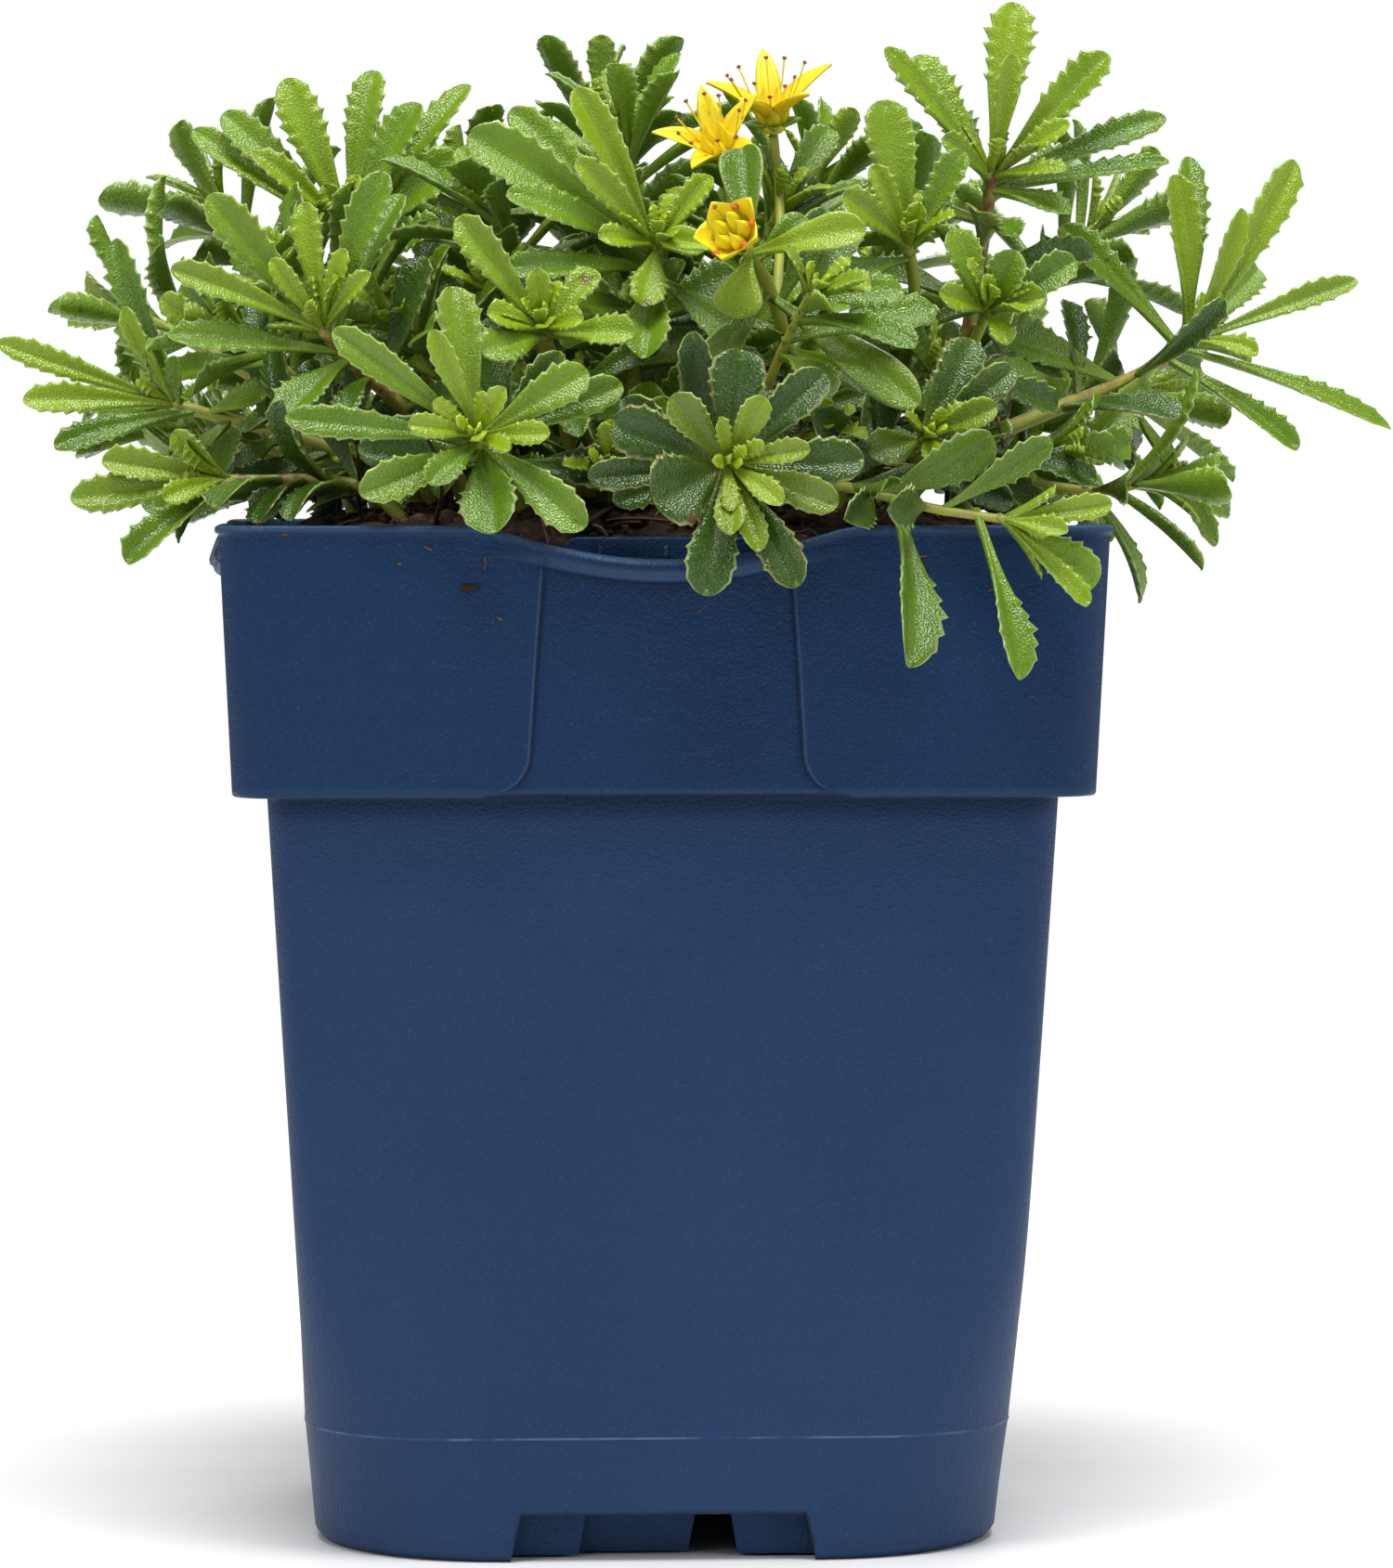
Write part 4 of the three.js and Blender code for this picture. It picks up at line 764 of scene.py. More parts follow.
def grow_under_leaves(shoot):
    """More leaves down the stem, smaller and darker, wherever they find room."""
    draw = drawer(UNDER_SEED + shoot["seed"])
    length_of_stem = sum(size(less(b, a)) for a, b in zip(shoot["path"][1:], shoot["path"][2:]))
    first = UNDER_FROM if "leaves" in shoot else UNDER_FROM_BY_RULE
    for i in range(UNDER_LEAVES):
        below = first + (length_of_stem - first - 2) * (i + 0.5 * draw()) / UNDER_LEAVES
        if below > length_of_stem - 3 or below < first:
            continue
        _, growth = point_below_tip(shoot["path"], below)
        wish = dict(
            below=below,
            chord=outward_chord(growth, GOLDEN_ANGLE * (i + 3) + 40 * draw(), 62 + 26 * draw()),
            length=11 + 6 * draw(), width=3.6 + 1.8 * draw(), curl=0.2 + 0.7 * draw(),
        )
        leaf = place_leaf(shoot, wish, UNDER_CLEARANCE)
        if leaf:
            leaf["under"] = True


# Mesh building.

# What each point carries for the materials, four values in each of two colour layers.
MARKS = ("share", "edge", "under", "young", "tone", "tint", "other", "full")
LAYERS = (("grow", slice(0, 4)), ("tone", slice(4, 8)))


def marks_of(points, tone=0.5, **values):
    """The marks of a grid of points, zero where nothing is said."""
    marks = np.zeros(points.shape[:2] + (len(MARKS),))
    for name, value in dict(values, tone=tone, full=1).items():
        marks[..., MARKS.index(name)] = value
    return marks


def put(name, data):
    """Makes an object of some data and adds it to the scene."""
    made = bpy.data.objects.new(name, data)
    bpy.context.scene.collection.objects.link(made)
    return made


class Builder:
    """Gathers points, faces, finishes and marks, then makes one object."""

    def __init__(self):
        self.points = []
        self.faces = []
        self.finish = []
        self.marks = []
        self.count = 0

    def grid(self, points, marks, finish, closed=True, ends=(True, True)):
        """Rings of points, shaped (rings, round, 3), joined into a tube with capped ends."""
        rings, around, _ = points.shape
        index = self.count + np.arange(rings * around).reshape(rings, around)
        self.points.append(points.reshape(-1, 3))
        self.marks.append(marks.reshape(-1, len(MARKS)))
        self.count += rings * around
        after = np.roll(index, -1, axis=1)
        corners = [index[:-1], after[:-1], after[1:], index[1:]]
        if not closed:
            corners = [corner[:, :-1] for corner in corners]
        self.join(np.stack(corners, axis=-1).reshape(-1, 4), finish)
        if closed:
            for ring, wanted, flip in ((0, ends[0], True), (rings - 1, ends[1], False)):
                if wanted:
                    self.cap(index[ring], points[ring], marks[ring], finish, flip)

    def join(self, faces, finish):
        self.faces.append(faces)
        self.finish.append(np.full(len(faces), finish))

    def cap(self, index, ring, marks, finish, flip):
        """Closes a ring with a fan of triangles round its middle."""
        self.points.append(ring.mean(axis=0)[None])
        self.marks.append(marks.mean(axis=0)[None])
        middle = self.count
        self.count += 1
        after = np.roll(index, -1)
        first, second = (after, index) if flip else (index, after)
        self.join(np.stack([first, second, np.full(len(index), middle)], axis=-1), finish)

    def make(self, name, materials, smooth=True):
        points = np.concatenate(self.points) * MM
        mesh = bpy.data.meshes.new(name)
        sizes = np.concatenate([np.full(len(f), f.shape[1]) for f in self.faces])
        loops = np.concatenate([f.reshape(-1) for f in self.faces])
        starts = np.concatenate([[0], np.cumsum(sizes)[:-1]])
        mesh.vertices.add(len(points))
        mesh.vertices.foreach_set("co", points.reshape(-1))
        mesh.loops.add(len(loops))
        mesh.loops.foreach_set("vertex_index", loops.astype(np.int32))
        mesh.polygons.add(len(sizes))
        for key, values in (("loop_start", starts), ("loop_total", sizes),
                            ("material_index", np.concatenate(self.finish))):
            mesh.polygons.foreach_set(key, values.astype(np.int32))
        mesh.polygons.foreach_set("use_smooth", np.full(len(sizes), smooth))
        marks = np.concatenate(self.marks)
        for layer, columns in LAYERS:
            colours = mesh.color_attributes.new(layer, "FLOAT_COLOR", "POINT")
            colours.data.foreach_set("color", np.ascontiguousarray(marks[:, columns]).reshape(-1))
        mesh.update(calc_edges=True)
        mesh.validate()
        for material in materials:
            mesh.materials.append(material)
        return put(name, mesh)


def finish_piece(piece, node):
    """Says what a piece rides on, and hides the imported part that it stands for."""
    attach(piece, "root")
    if node:
        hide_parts(node)


def tube_rings(path, radii, sides):
    """Rings round a path, turned as little as possible from one to the next."""
    path = np.asarray(path, float)
    forward = np.gradient(path, axis=0)
    forward /= np.linalg.norm(forward, axis=1)[:, None]
    side = np.cross(forward[0], (0.31, 1, 0.17))
    angles = 2 * np.pi * np.arange(sides) / sides
    rings = []
    for point, ahead, radius in zip(path, forward, radii):
        side = side - ahead * np.dot(side, ahead)
        side /= np.linalg.norm(side)
        up = np.cross(ahead, side)
        spread = np.outer(np.cos(angles), side) + np.outer(np.sin(angles), up)
        rings.append(point + radius * spread)
    return np.array(rings)


def tube(builder, path, radii, sides, finish, **marks):
    rings = tube_rings(path, radii, sides)
    builder.grid(rings, marks_of(rings, **marks), finish)


def resampled(path, step):
    """The same line of points, smoothed and evenly spaced, and its length."""
    curve = np.array(catmull([tuple(p) for p in path], 8 * (len(path) - 1)))
    lengths = np.concatenate([[0], np.cumsum(np.linalg.norm(np.diff(curve, axis=0), axis=1))])
    length = lengths[-1]
    wanted = np.linspace(0, length, max(4, int(length / step)))
    return np.stack([np.interp(wanted, lengths, curve[:, k]) for k in range(3)], axis=1), length


# Lines along and across a leaf: fine on the front shoots, plain behind and below, fewest in hearts.
LEAF_GRIDS = {
    "fine": dict(
        across=(0, 0.3, 0.6, 0.86, 1), under=(0.6, 0, -0.6), steps=(0, 0.3, 0.6, 0.8, 0.93),
        foot=(-0.04, 0.04, 0.12, 0.2, 0.28, 0.36, 0.43), tip=(0.94, 0.96, 0.978, 0.991, 0.998),
    ),
    "plain": dict(
        across=(0, 0.45, 0.85, 1), under=(0.5, 0, -0.5), steps=(0, 0.45, 0.8, 0.93),
        foot=(-0.04, 0.06, 0.17, 0.29, 0.41), tip=(0.945, 0.975, 0.998),
    ),
    "heart": dict(
        across=(0, 0.6, 1), under=(0,), steps=(0, 0.45, 0.8, 0.93),
        foot=(-0.04, 0.15, 0.35), tip=(0.95, 0.99),
    ),
}
# Where the teeth begin and end along the leaf, and where in its pitch a tooth peaks.
TOOTH_PEAK = 0.8
TOOTH_HOLLOW = 1.25
TOOTH_FROM = 0.5
TOOTH_TO = 0.92
# How deep the teeth are cut, as a share of the half width. The flowering shoot has none.
TOOTH_DEPTH = 0.2
TOOTH_DEPTHS = {
    "shoot_front_middle": 0.13, "shoot_right_top": 0.27, "shoot_far_right": 0.27,
    "shoot_left": 0.24, "shoot_upper_left": 0.22, "shoot_left_top": 0.22,
    "shoot_front_left": 0.17, "shoot_low_right": 0.14, "shoot_flowering": 0,
}
# How far the cut goes in behind a tooth, and how teeth and cuts differ: least, and by draw.
TOOTH_ROOT = 0.35
TOOTH_SIZE = (0.6, 0.8)
CUT_SIZE = (0.8, 0.4)

# The fold along the rib: how softly it turns, and how sharp it is, least and by draw.
RIB_SOFTNESS = 0.28
FOLD_SHARPNESS = (1.05, 0.8)
# The margins curl down by up to the play less the bias, and wave on leaves of this width.
CURL_BIAS = 0.35
CURL_PLAY = 0.5
CURL_HEIGHT = 0.35
WAVE_HEIGHT = 0.16
WAVE_WIDTH = 4
WAVE_LEAST = 0.4
WAVE_LENGTHS = 9
TWIST_PLAY = 0.5
# The flesh: thicker at the foot than at the tip, with the last stretch tapering to a least share.
FLESH_AT_FOOT = 1.25
FLESH_LOST = 0.75
TAPER_END = 1.02
TAPER_LENGTH = 0.12
TAPER_LEAST = 0.25
RIB_ABOVE = 0.4
RIB_BELOW = 0.66
MARGIN_THINNING = 0.72
MARGIN_POWER = 3.2
MARGIN_BELOW = 0.06
MARGIN_UNDER = 0.4
# The groove along the rib, which leaves younger than this share don't have.
GROOVE_DEPTH = 0.2
GROOVE_HALF = 0.3
GROOVE_YOUNGEST = 0.6
# A shoot's materials.
LEAF, STEM = 0, 1


def leaf_outline(leaf, lines, teeth, depth, draw):
    """Shares of the leaf's length from foot to tip, and the half widths to its left and right."""
    shares = list(lines["foot"])
    pitch = (TOOTH_TO - TOOTH_FROM) / teeth
    for tooth in range(teeth):
        shares += [TOOTH_FROM + pitch * (tooth + step) for step in lines["steps"]]
    shares += lines["tip"]
    share = np.array(shares)
    half = np.array([leaf_half_width(leaf, max(s, 0)) for s in shares])
    phase = np.clip((share - TOOTH_FROM) / pitch, 0, teeth)
    saw = phase - np.floor(phase)
    rising = np.clip(saw / TOOTH_PEAK, 0, 1) ** TOOTH_HOLLOW
    falling = 1 - np.clip((saw - TOOTH_PEAK) / (1 - TOOTH_PEAK), 0, 1)
    sizes = TOOTH_SIZE[0] + TOOTH_SIZE[1] * np.array([draw() for _ in range(teeth + 1)])
    bump = np.where(saw < TOOTH_PEAK, rising, falling) * sizes[np.floor(phase).astype(int)]
    toothed = (share > TOOTH_FROM) & (share < TOOTH_TO)
    cut = depth * (CUT_SIZE[0] + CUT_SIZE[1] * draw()) if depth else 0
    left, right = (
        half * np.where(toothed, 1 - cut * TOOTH_ROOT + cut * np.roll(bump, shift), 1)
        for shift in (0, 1)
    )
    return share, left[:, None], right[:, None]


def off_the_rib(leaf, share, spread, height):
    """Points beside and above the rib of a bent leaf, for each share of its length."""
    reach = leaf["length"] / leaf["curl"]
    bend = leaf["curl"] * share
    base, forward, upper = (np.array(leaf[key]) for key in ("base", "forward", "upper"))
    side = np.cross(forward, upper)
    rib = base + np.outer(reach * np.sin(bend), forward)
    rib = rib - np.outer(reach * (1 - np.cos(bend)), upper)
    up = np.outer(np.cos(bend), upper) + np.outer(np.sin(bend), forward)
    return rib[:, None, :] + spread[..., None] * side + height[..., None] * up[:, None, :]


def leaf_mesh(builder, leaf, draw, teeth, depth, young, tint, grid):
    """One leaf: toothed outline, soft fold, rounded margin and thicker rib."""
    lines = LEAF_GRIDS[grid]
    share, left, right = leaf_outline(leaf, lines, teeth, depth, draw)
    top = np.array([-u for u in lines["across"][:0:-1]] + list(lines["across"]))
    across = np.concatenate([top, lines["under"]])
    from_rib = np.abs(across)
    is_under = np.concatenate([np.zeros(len(top)), np.ones(len(lines["under"]))])
    margins = [0, len(top) - 1]
    is_under[margins] = MARGIN_UNDER
    rows = share[:, None]
    grown = np.clip(rows, 0, 1)

    widths = np.where(across < 0, left, right)
    lateral = across * widths
    fold = LEAF_FOLD * (FOLD_SHARPNESS[0] + FOLD_SHARPNESS[1] * draw())
    lift = (np.sqrt(lateral ** 2 + RIB_SOFTNESS ** 2) - RIB_SOFTNESS) * math.sin(fold)
    edge_curl = (draw() - CURL_BIAS) * CURL_PLAY
    lift -= edge_curl * from_rib ** 3 * widths * CURL_HEIGHT
    wave = WAVE_HEIGHT * leaf["width"] / WAVE_WIDTH * (WAVE_LEAST + draw())
    waving = np.sin(rows * WAVE_LENGTHS + 6 * draw()) * grown
    lift += wave * waving * np.sign(across) * across ** 2

    body = LEAF_THICKNESS * (FLESH_AT_FOOT - FLESH_LOST * grown ** 2)
    body = body * np.clip((TAPER_END - rows) / TAPER_LENGTH, TAPER_LEAST, 1)
    thick = body * (1 - MARGIN_THINNING * from_rib ** MARGIN_POWER)
    above = np.where(is_under > 0.5, -RIB_BELOW * thick, RIB_ABOVE * thick)
    above[:, margins] = -MARGIN_BELOW
    if young < GROOVE_YOUNGEST:
        groove = GROOVE_DEPTH * np.exp(-(lateral / GROOVE_HALF) ** 2) * np.clip(rows * 3, 0, 1)
        above = above - np.where(is_under > 0.5, -0.5, 1) * groove
    twist = (draw() - 0.5) * TWIST_PLAY * rows
    spread = lateral * math.cos(fold)
    height = lift + above
    cosine, sine = np.cos(twist), np.sin(twist)
    spread, height = spread * cosine - height * sine, spread * sine + height * cosine
    points = off_the_rib(leaf, share, spread, height)
    marks = marks_of(
        points, share=grown, edge=from_rib, under=is_under, young=young, tone=draw(), tint=tint,
        other=draw(),
    )
    builder.grid(points[:, ::-1], marks[:, ::-1], LEAF)


STEM_SIDES = 9
STEM_RING_STEP = 1.1
STEM_TAPER = 0.62
SCAR_SPACING = 5.5
SCAR_SWELL = 0.1
SCAR_HALF = 0.55


def stem_mesh(builder, path, foot_radius, tip_radius, redness, draw, scars=True):
    """A stem, thickened a little in rings where leaves have fallen off."""
    centre, length = resampled(path, STEM_RING_STEP)
    share = np.linspace(0, 1, len(centre))
    radii = foot_radius + (tip_radius - foot_radius) * share
    if scars:
        where = (share * length + 3 * draw()) / SCAR_SPACING
        off_scar = (where - np.round(where)) * SCAR_SPACING / SCAR_HALF
        radii = radii * (1 + SCAR_SWELL * np.exp(-off_scar ** 2))
    tube(
        builder, centre, radii, STEM_SIDES, STEM, share=share[:, None], tone=draw(), tint=redness,
        other=draw(),
    )


HEART_LEAVES = 7
HEART_TEETH = 3
HEART_TOOTH_DEPTH = 0.4
# The innermost leaf's tilt, height, length, width and curl, each with what every next one adds.
HEART_SHAPE = ((8, 7), (0.2, -0.12), (2.6, 0.75), (1.1, 0.22), (-0.5, 0.15))
HEART_AGING = 0.09


def heart_leaves(builder, shoot, draw, tint):
    """The small bright leaves still folded together at the shoot's tip."""
    growth = unit(less(shoot["path"][-1], shoot["path"][-2]))
    for i in range(HEART_LEAVES):
        tilt, height, length, width, curl = (first + step * i for first, step in HEART_SHAPE)
        chord = outward_chord(growth, GOLDEN_ANGLE * i + 90 * draw(), tilt)
        foot = along(shoot["apex"], growth, height)
        leaf = make_leaf(foot, chord, growth, length, width, curl)
        young = 1 - HEART_AGING * i
        leaf_mesh(builder, leaf, draw, HEART_TEETH, HEART_TOOTH_DEPTH, young, tint, "heart")


# How far a shoot's leaves may be tinted and its stem be red, and the stems that the photo shows.
TINT_PLAY = 0.25
REDNESS_PLAY = 0.2
RED_STEMS = {
    "shoot_upper_left": 0.9, "shoot_right_top": 1.0, "shoot_far_right": 0.6,
    "shoot_middle_left": 0.5, "shoot_front_right": 0.35, "shoot_lower_left": 0.8,
    "shoot_left": 0.3, "shoot_left_top": 0.4,
}
# A leaf whose foot is further from the shoot's tip than this isn't young, or is fully aged.
YOUNG_WITHIN = 1.4
AGED_BEYOND = 12
YOUNG_MOST = 0.7
DARKER_WITH_AGE = 0.35
DARKER_BELOW = 0.35
# Bracts that point upwards are darkened as painted shade, and the others made younger.
UPRIGHT_BRACT = 0.6
BRACT_SHADE = 0.45
# Leaves shorter or longer than these have one tooth less or more.
USUAL_TEETH = 4
SHORT_LEAF = 8
LONG_LEAF = 16
SHAPE_SEED = 900


def teeth_of(leaf):
    """How many teeth a leaf has on each side."""
    if leaf["length"] < SHORT_LEAF:
        return USUAL_TEETH - 1
    if leaf["length"] > LONG_LEAF:
        return USUAL_TEETH + 1
    return USUAL_TEETH


def make_shoot(shoot, materials):
    """One shoot's piece: its stem, its leaves, and its heart or the branches of the flowers."""
    builder = Builder()
    draw = drawer(SHAPE_SEED + shoot["seed"])
    name = shoot["name"]
    tint = shoot.get("tint", TINT_PLAY * draw())
    redness = RED_STEMS.get(name, REDNESS_PLAY * draw())
    stem_mesh(builder, shoot["path"], shoot["radius"], shoot["radius"] * STEM_TAPER, redness, draw)
    is_flowering = name == FLOWER_SHOOT["name"]
    depth = TOOTH_DEPTHS.get(name, TOOTH_DEPTH)
    for leaf in shoot["placed"]:
        is_finer = "under" in leaf
        old = min(leaf["below"] / AGED_BEYOND, 1)
        dark = min(1, tint + DARKER_WITH_AGE * old + (DARKER_BELOW if is_finer else 0))
        young = 0 if is_finer else YOUNG_MOST * max(0, 1 - leaf["below"] / YOUNG_WITHIN)
        if is_flowering and leaf["below"] < BRACTS_FROM_TIP:
            # An upright bract gets painted shade, the others a younger green.
            is_upright = leaf["forward"][2] > UPRIGHT_BRACT
            young, dark = (0, BRACT_SHADE) if is_upright else (BRACT_SHADE, 0)
        grid = "fine" if "leaves" in shoot and not is_finer else "plain"
        leaf_mesh(builder, leaf, draw, teeth_of(leaf), depth, young, dark * (1 - young), grid)
    if is_flowering:
        for branch in BRANCHES:
            path = branch_path(shoot, branch)
            stem_mesh(builder, path, BRANCH_RADIUS, BRANCH_RADIUS * 0.9, 0.1, draw, scars=False)
    else:
        heart_leaves(builder, shoot, draw, tint)
    piece = builder.make(f"{name}_leaves", materials)
    finish_piece(piece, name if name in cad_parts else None)


# Flowers.

# A flower's materials.
PETAL, ANTHER, SEPAL = 0, 1, 2
PETAL_SHARES = np.array([0, 0.08, 0.18, 0.3, 0.42, 0.54, 0.66, 0.77, 0.86, 0.93, 0.98, 1.0])
# Places round a petal's section, and how far each lies on its under side.
PETAL_ACROSS = np.array([-1, -0.55, 0, 0.55, 1, 0.55, 0, -0.55])
PETAL_UNDER = np.array([0.5, 0, 0, 0, 0.5, 1, 1, 1])
PETAL_MARGINS = [0, 4]
# How steeply a petal is keeled, and its flesh below and above the keel's line.
KEEL = 0.5
KEEL_NARROWING = 0.12
PETAL_BELOW = -0.28
PETAL_ABOVE = 0.06


def petal_mesh(builder, petal, draw, finish, fullness):
    """A keeled petal or sepal. The less its fullness, the broader it stays towards its ends."""
    swell = np.sin(np.pi * np.clip(0.12 + 0.88 * PETAL_SHARES, 0, 1)) ** fullness
    half = np.maximum(petal["width"] / 2 * swell, 0.05)
    lateral = PETAL_ACROSS * half[:, None]
    keeled = np.abs(lateral) * KEEL
    flesh = np.where(PETAL_UNDER > 0.7, PETAL_BELOW, PETAL_ABOVE) * (1 - 0.6 * PETAL_ACROSS ** 2)
    height = keeled + flesh
    height[:, PETAL_MARGINS] = keeled[:, PETAL_MARGINS]
    points = off_the_rib(petal, PETAL_SHARES, lateral * (1 - KEEL_NARROWING * KEEL), height)
    marks = marks_of(
        points, share=PETAL_SHARES[:, None], edge=np.abs(PETAL_ACROSS), under=PETAL_UNDER,
        tone=draw(),
    )
    builder.grid(points[:, ::-1], marks[:, ::-1], finish)


def blob(builder, path, radii, draw, finish, sides=8, mark=0.0):
    """A short round body along a path, such as a carpel or an anther."""
    share = np.linspace(0, 1, len(path))[:, None]
    tube(builder, path, radii, sides, finish, share=share, young=mark, tone=draw())


# An open flower and an opening bud. Slopes say how far a petal opens for each step up.
OPEN_FLOWER = dict(
    slope=1.25, slope_play=0.4, stretch=1, width=2.9, curl=0.4, fullness=0.8, sepal_slope=2.2,
    carpel_lean=0.8, carpel_radius=0.8, greenness=0.6,
    stamens=10, stamen_height=6.4, stamen_spread=3.8, anther=0.62,
)
OPENING_BUD = dict(
    slope=0.95, slope_play=0, stretch=1.12, width=4.6, curl=-1.0, fullness=0.45, sepal_slope=1.4,
    carpel_lean=0.9, carpel_radius=0.85, greenness=1.1,
    stamens=6, stamen_height=3.4, stamen_spread=3.1, anther=1.0,
)
BUD_REACH = 6
PETALS = 5
SEPAL_LENGTH = 3.4
SEPAL_WIDTH = 1.9
SEPAL_FULLNESS = 0.8
CARPEL_HEIGHT = 4.2
CARPEL_SHARES = (0, 0.15, 0.35, 0.55, 0.72, 0.85, 0.94, 1)
CARPEL_RADII = (0.55, 0.9, 1.0, 0.86, 0.55, 0.25, 0.12, 0.04)
ANTHER_PLACES = (-1, -0.7, 0, 0.7, 1)
ANTHER_RADII = (0.08, 0.26, 0.34, 0.26, 0.08)
ANTHER_HALF = 0.42
FILAMENT_RADIUS = 0.1
DISC_HEIGHTS = (-0.1, 0.3, 0.9, 1.3)
DISC_RADII = (1.1, 1.45, 1.3, 0.6)


def make_flower(flower, materials, seed):
    """Petals in a star, five plump carpels, and stamens with orange anthers."""
    builder = Builder()
    draw = drawer(seed)
    up = unit(flower["facing"])
    seat = flower["seat"]
    sideways = unit(cross(up, FLOWER_SIDE))
    form = OPENING_BUD if flower["reach"] < BUD_REACH else OPEN_FLOWER
    for i in range(PETALS):
        outward = turned(sideways, up, 72 * i + 6 * (draw() - 0.5))
        between = turned(sideways, up, 72 * i + 36)
        slope = form["slope"]
        if form["slope_play"]:
            slope += form["slope_play"] * (draw() - 0.5)
        chord = unit(along(up, outward, slope))
        reach = flower["reach"] * (0.94 + 0.12 * draw()) * form["stretch"]
        petal = make_leaf(along(seat, up, 0.4), chord, up, reach, form["width"], form["curl"])
        petal_mesh(builder, petal, draw, PETAL, form["fullness"])
        chord = unit(along(up, between, form["sepal_slope"]))
        sepal = make_leaf(along(seat, up, 0.1), chord, up, SEPAL_LENGTH, SEPAL_WIDTH, -0.2)
        petal_mesh(builder, sepal, draw, SEPAL, SEPAL_FULLNESS)
        foot = along(along(seat, up, 0.5), between, 0.55)
        path = []
        for share in CARPEL_SHARES:
            outwards = form["carpel_lean"] * math.sin(share * math.pi * 0.75)
            path.append(along(along(foot, up, CARPEL_HEIGHT * share), between, outwards))
        radii = [form["carpel_radius"] * value for value in CARPEL_RADII]
        blob(builder, path, radii, draw, PETAL, mark=form["greenness"])
    big = form["anther"]
    for i in range(form["stamens"]):
        outward = turned(sideways, up, 360 * i / form["stamens"] + 20 * (draw() - 0.5))
        tall = form["stamen_height"] * (0.8 + 0.3 * draw())
        spread = form["stamen_spread"] * (0.7 + 0.5 * draw())
        top = along(along(seat, up, tall), outward, spread)
        middle = along(along(seat, up, tall * 0.5), outward, spread * 0.62)
        foot = along(along(seat, up, 0.6), outward, 0.6)
        path = catmull([foot, middle, top], 8)
        blob(builder, path, [FILAMENT_RADIUS] * len(path), draw, PETAL, sides=5, mark=0.2)
        long_way = unit(cross(outward, up))
        ends = [along(top, long_way, ANTHER_HALF * big * k) for k in ANTHER_PLACES]
        blob(builder, ends, [big * r for r in ANTHER_RADII], draw, ANTHER, 7, 1 - big)
    disc = [along(seat, up, height) for height in DISC_HEIGHTS]
    blob(builder, disc, DISC_RADII, draw, PETAL, sides=12)
    piece = builder.make(f"{flower['name']}_petals", materials)
    finish_piece(piece, flower["name"])


# The pot.

def body_section(z):
    """Half width and corner radius of the pot's body at a height, between the listed ones."""
    heights = [row[0] for row in BODY]
    half = np.interp(z, heights, [row[1] for row in BODY])
    radius = CORNER_HIGH + CORNER_GAIN / (1 + math.exp((z - CORNER_TURN_Z) / CORNER_TURN_SPAN))
    return float(half), radius


def panel_edge(z):
    """Half the width of the shallow panel at a height up the skirt."""
    corner = SKIRT_HEM_Z + PANEL_FLARE
    if z < corner:
        drop = min((corner - z) / PANEL_FLARE, 1)
        return PANEL_HEM_HALF + PANEL_FLARE * (1 - math.sqrt(1 - drop ** 2))
    rise = (z - corner) / (SKIRT_TOP_Z - corner)
    return PANEL_HEM_HALF + (PANEL_TOP_HALF - PANEL_HEM_HALF) * rise


def skirt_half(z):
    """Half the skirt's width at a height."""
    slope = (SKIRT_TOP_HALF - SKIRT_HEM_HALF) / (SKIRT_TOP_Z - SKIRT_HEM_Z)
    return SKIRT_HEM_HALF + slope * (z - SKIRT_HEM_Z)


# How far the hem is lifted at the panels.
HEM_LIFT = 0.35
# Places across a side, and how they crowd towards the panel's edges.
COLUMN_CROWDING = 1.6
LEFT_COLUMNS = 13
MIDDLE_COLUMNS = 29
CORNER_COLUMNS = 9
EDGE_OFFSETS = (0.42, 0.3, 0.2, 0.1, 0, -0.1, -0.2, -0.42)
# The step into a panel, the bead beside it and how far out it lies, and the lip's roundness.
PANEL_STEP = 0.25
EDGE_BEAD = 0.2
BEAD_OUT = 0.26
BEAD_SPREAD = 0.11
LIP_ROUNDING = 0.7


def side_columns(flat, edge):
    """Places across one side: spread over the corner panels, close together at their edges."""
    edge = min(edge, flat - 1)
    near = EDGE_OFFSETS[0]
    outwards = (1 - np.linspace(0, 1, LEFT_COLUMNS)[:-1]) ** COLUMN_CROWDING
    left = -(edge + near + (flat - edge - near) * outwards)
    left_edge = [-(edge + offset) for offset in EDGE_OFFSETS]
    middle = np.linspace(-(edge - near), edge - near, MIDDLE_COLUMNS)[1:-1]
    right_edge = [edge + offset for offset in EDGE_OFFSETS[::-1]]
    return np.concatenate([left, left_edge, middle, right_edge, -left[::-1]])


def dip_at(x):
    """How far the rim dips at a place across a side."""
    return LIP_DROP * np.clip(1 - (x / DIP_HALF) ** 2, 0, 1) ** DIP_ROUNDING


def on_four_sides(points):
    """The same points on each side of the pot, the front's first."""
    turns = []
    for cosine, sine in ((1, 0), (0, 1), (-1, 0), (0, -1)):
        turned_points = points.copy()
        turned_points[..., 0] = points[..., 0] * cosine - points[..., 1] * sine
        turned_points[..., 1] = points[..., 0] * sine + points[..., 1] * cosine
        turns.append(turned_points)
    return turns


